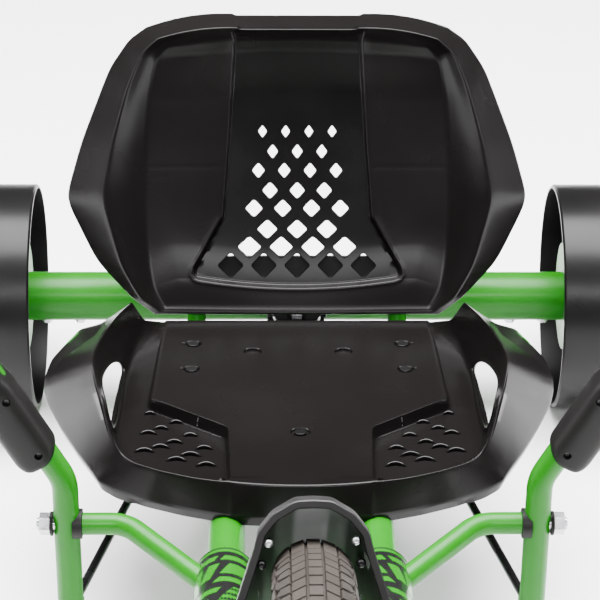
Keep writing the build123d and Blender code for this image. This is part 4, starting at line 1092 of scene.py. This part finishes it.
# ---------------------------------------------------------------- film on the front tubes
# Black patch with plain slanted bars, wrapped on the upper side of each front tube.
BARS = [
    (12, -26, 12, 0, 20, 4, 20, -22), (12, 5, 12, 27, 20, 30, 20, 9),
    (26, -30, 26, -4, 44, 4, 44, -22), (26, 4, 26, 14, 50, 22, 50, 12),
    (26, 20, 26, 31, 62, 33, 62, 24), (50, -24, 50, 4, 58, 10, 58, -18),
    (66, -31, 66, -8, 92, 6, 92, -14), (68, 2, 68, 28, 76, 32, 76, 6),
    (84, 12, 84, 32, 108, 30, 108, 18), (98, -28, 98, 2, 106, 10, 106, -20),
]


FRONT_TUBE_R = 25.4
TUBE_MOUTH_AHEAD = 575


def film_point(sign, length, arc, lift):
    a = arc / FRONT_TUBE_R
    flat = length * math.cos(FRAME_SLOPE)
    r = FRONT_TUBE_R + lift
    return frame_point(sign * RAIL_X, TUBE_MOUTH_AHEAD + flat, r * math.cos(a), sign * r * math.sin(a))


def add_patch(points, faces, sign, corners, lift, rows=3, columns=14):
    start = len(points)
    (l0, a0), (l1, a1), (l2, a2), (l3, a3) = corners
    for i in range(rows + 1):
        t = i / rows
        for j in range(columns + 1):
            q = j / columns
            length = (l0 + (l1 - l0) * q) * (1 - t) + (l3 + (l2 - l3) * q) * t
            arc = (a0 + (a1 - a0) * q) * (1 - t) + (a3 + (a2 - a3) * q) * t
            points.append(film_point(sign, length, arc, lift))
    faces.extend(grid_faces(rows + 1, columns + 1, start))


for side, sign in SIDES:
    points, faces = [], []
    add_patch(points, faces, sign, [(5, -30), (5, 34), (114, 36), (114, -34)], 0.12, 12, 24)
    film = shaped("tube_film_" + side, points, faces, 60)
    settle(film, "front_tube_" + side, replaces=False, material=decal_black)
    points, faces = [], []
    for l0, a0, l1, a1, l2, a2, l3, a3 in BARS:
        add_patch(points, faces, sign, [(l0, a0), (l1, a1), (l2, a2), (l3, a3)], 0.22)
    bars = shaped("tube_bars_" + side, points, faces, 60)
    settle(bars, "front_tube_" + side, replaces=False, material=decal_green)

# ---------------------------------------------------------------- the rest, refined from the frame
SPECIAL = {"seat_back", "seat_pan", "front_tyre", "fender", "fender_cheek_left", "fender_cheek_right",
           "lever_shroud_left", "lever_shroud_right", "handgrip_left", "handgrip_right"}
WIDE = {"steer_yoke": 1.0, "back_plate": 1.0, "pedal_left": 2.0, "pedal_right": 2.0,
        "crank_left": 1.5, "crank_right": 1.5, "lever_bush_left": 1.5, "lever_bush_right": 1.5,
        "spokes": 0.05, "inner_tube": 0.1, "rear_wheel_left": 1.0, "rear_wheel_right": 1.0,
        "lever_pivot_bolts": 1.0}
for name in sorted(nodes):
    if name not in SPECIAL:
        made = refined(name, WIDE.get(name, 0.6))
        if name == "seat_bolts":
            made.data.materials.clear()
            made.data.materials.append(black_gloss)

# ---------------------------------------------------------------- floor and light
floor_mesh = bpy.data.meshes.new("floor")
floor_mesh.from_pydata([(-9, -9, 0), (9, -9, 0), (9, 9, 0), (-9, 9, 0)], [], [(0, 1, 2, 3)])
floor = link_object("floor", floor_mesh)
pale = finish_of("pale_floor", (0.93, 0.93, 0.93), (0.95, 0.95, 0.95), (0.75, 0.85, 3.0),
                 [(40.0, 0.0001, None)], 1.5)
floor.data.materials.append(pale)


def soft_light(name, place, aim, width, height, power):
    data = bpy.data.lights.new(name, "AREA")
    data.shape = "RECTANGLE"
    data.size = width
    data.size_y = height
    data.energy = power
    lamp = bpy.data.objects.new(name, data)
    lamp.location = place
    lamp.rotation_euler = (Vector(aim) - Vector(place)).to_track_quat("-Z", "Y").to_euler()
    bpy.context.scene.collection.objects.link(lamp)
    return lamp


soft_light("top_softbox", (0.0, 0.7, 2.7), (0, 0.2, 0.2), 2.8, 2.0, 560)
soft_light("left_strip", (-2.2, 0.6, 1.7), (0, 0.2, 0.3), 0.5, 2.2, 70)
soft_light("right_strip", (2.2, 0.6, 1.7), (0, 0.2, 0.3), 0.5, 2.2, 70)
soft_light("front_fill", (0.0, -2.8, 2.4), (0, 0.3, 0.3), 2.2, 0.6, 110)
world = bpy.data.worlds.new("studio")
bpy.context.scene.world = world
world.use_nodes = True
world.node_tree.nodes["Background"].inputs["Color"].default_value = (1, 1, 1, 1)
world.node_tree.nodes["Background"].inputs["Strength"].default_value = 0.16

bpy.context.view_layer.update()
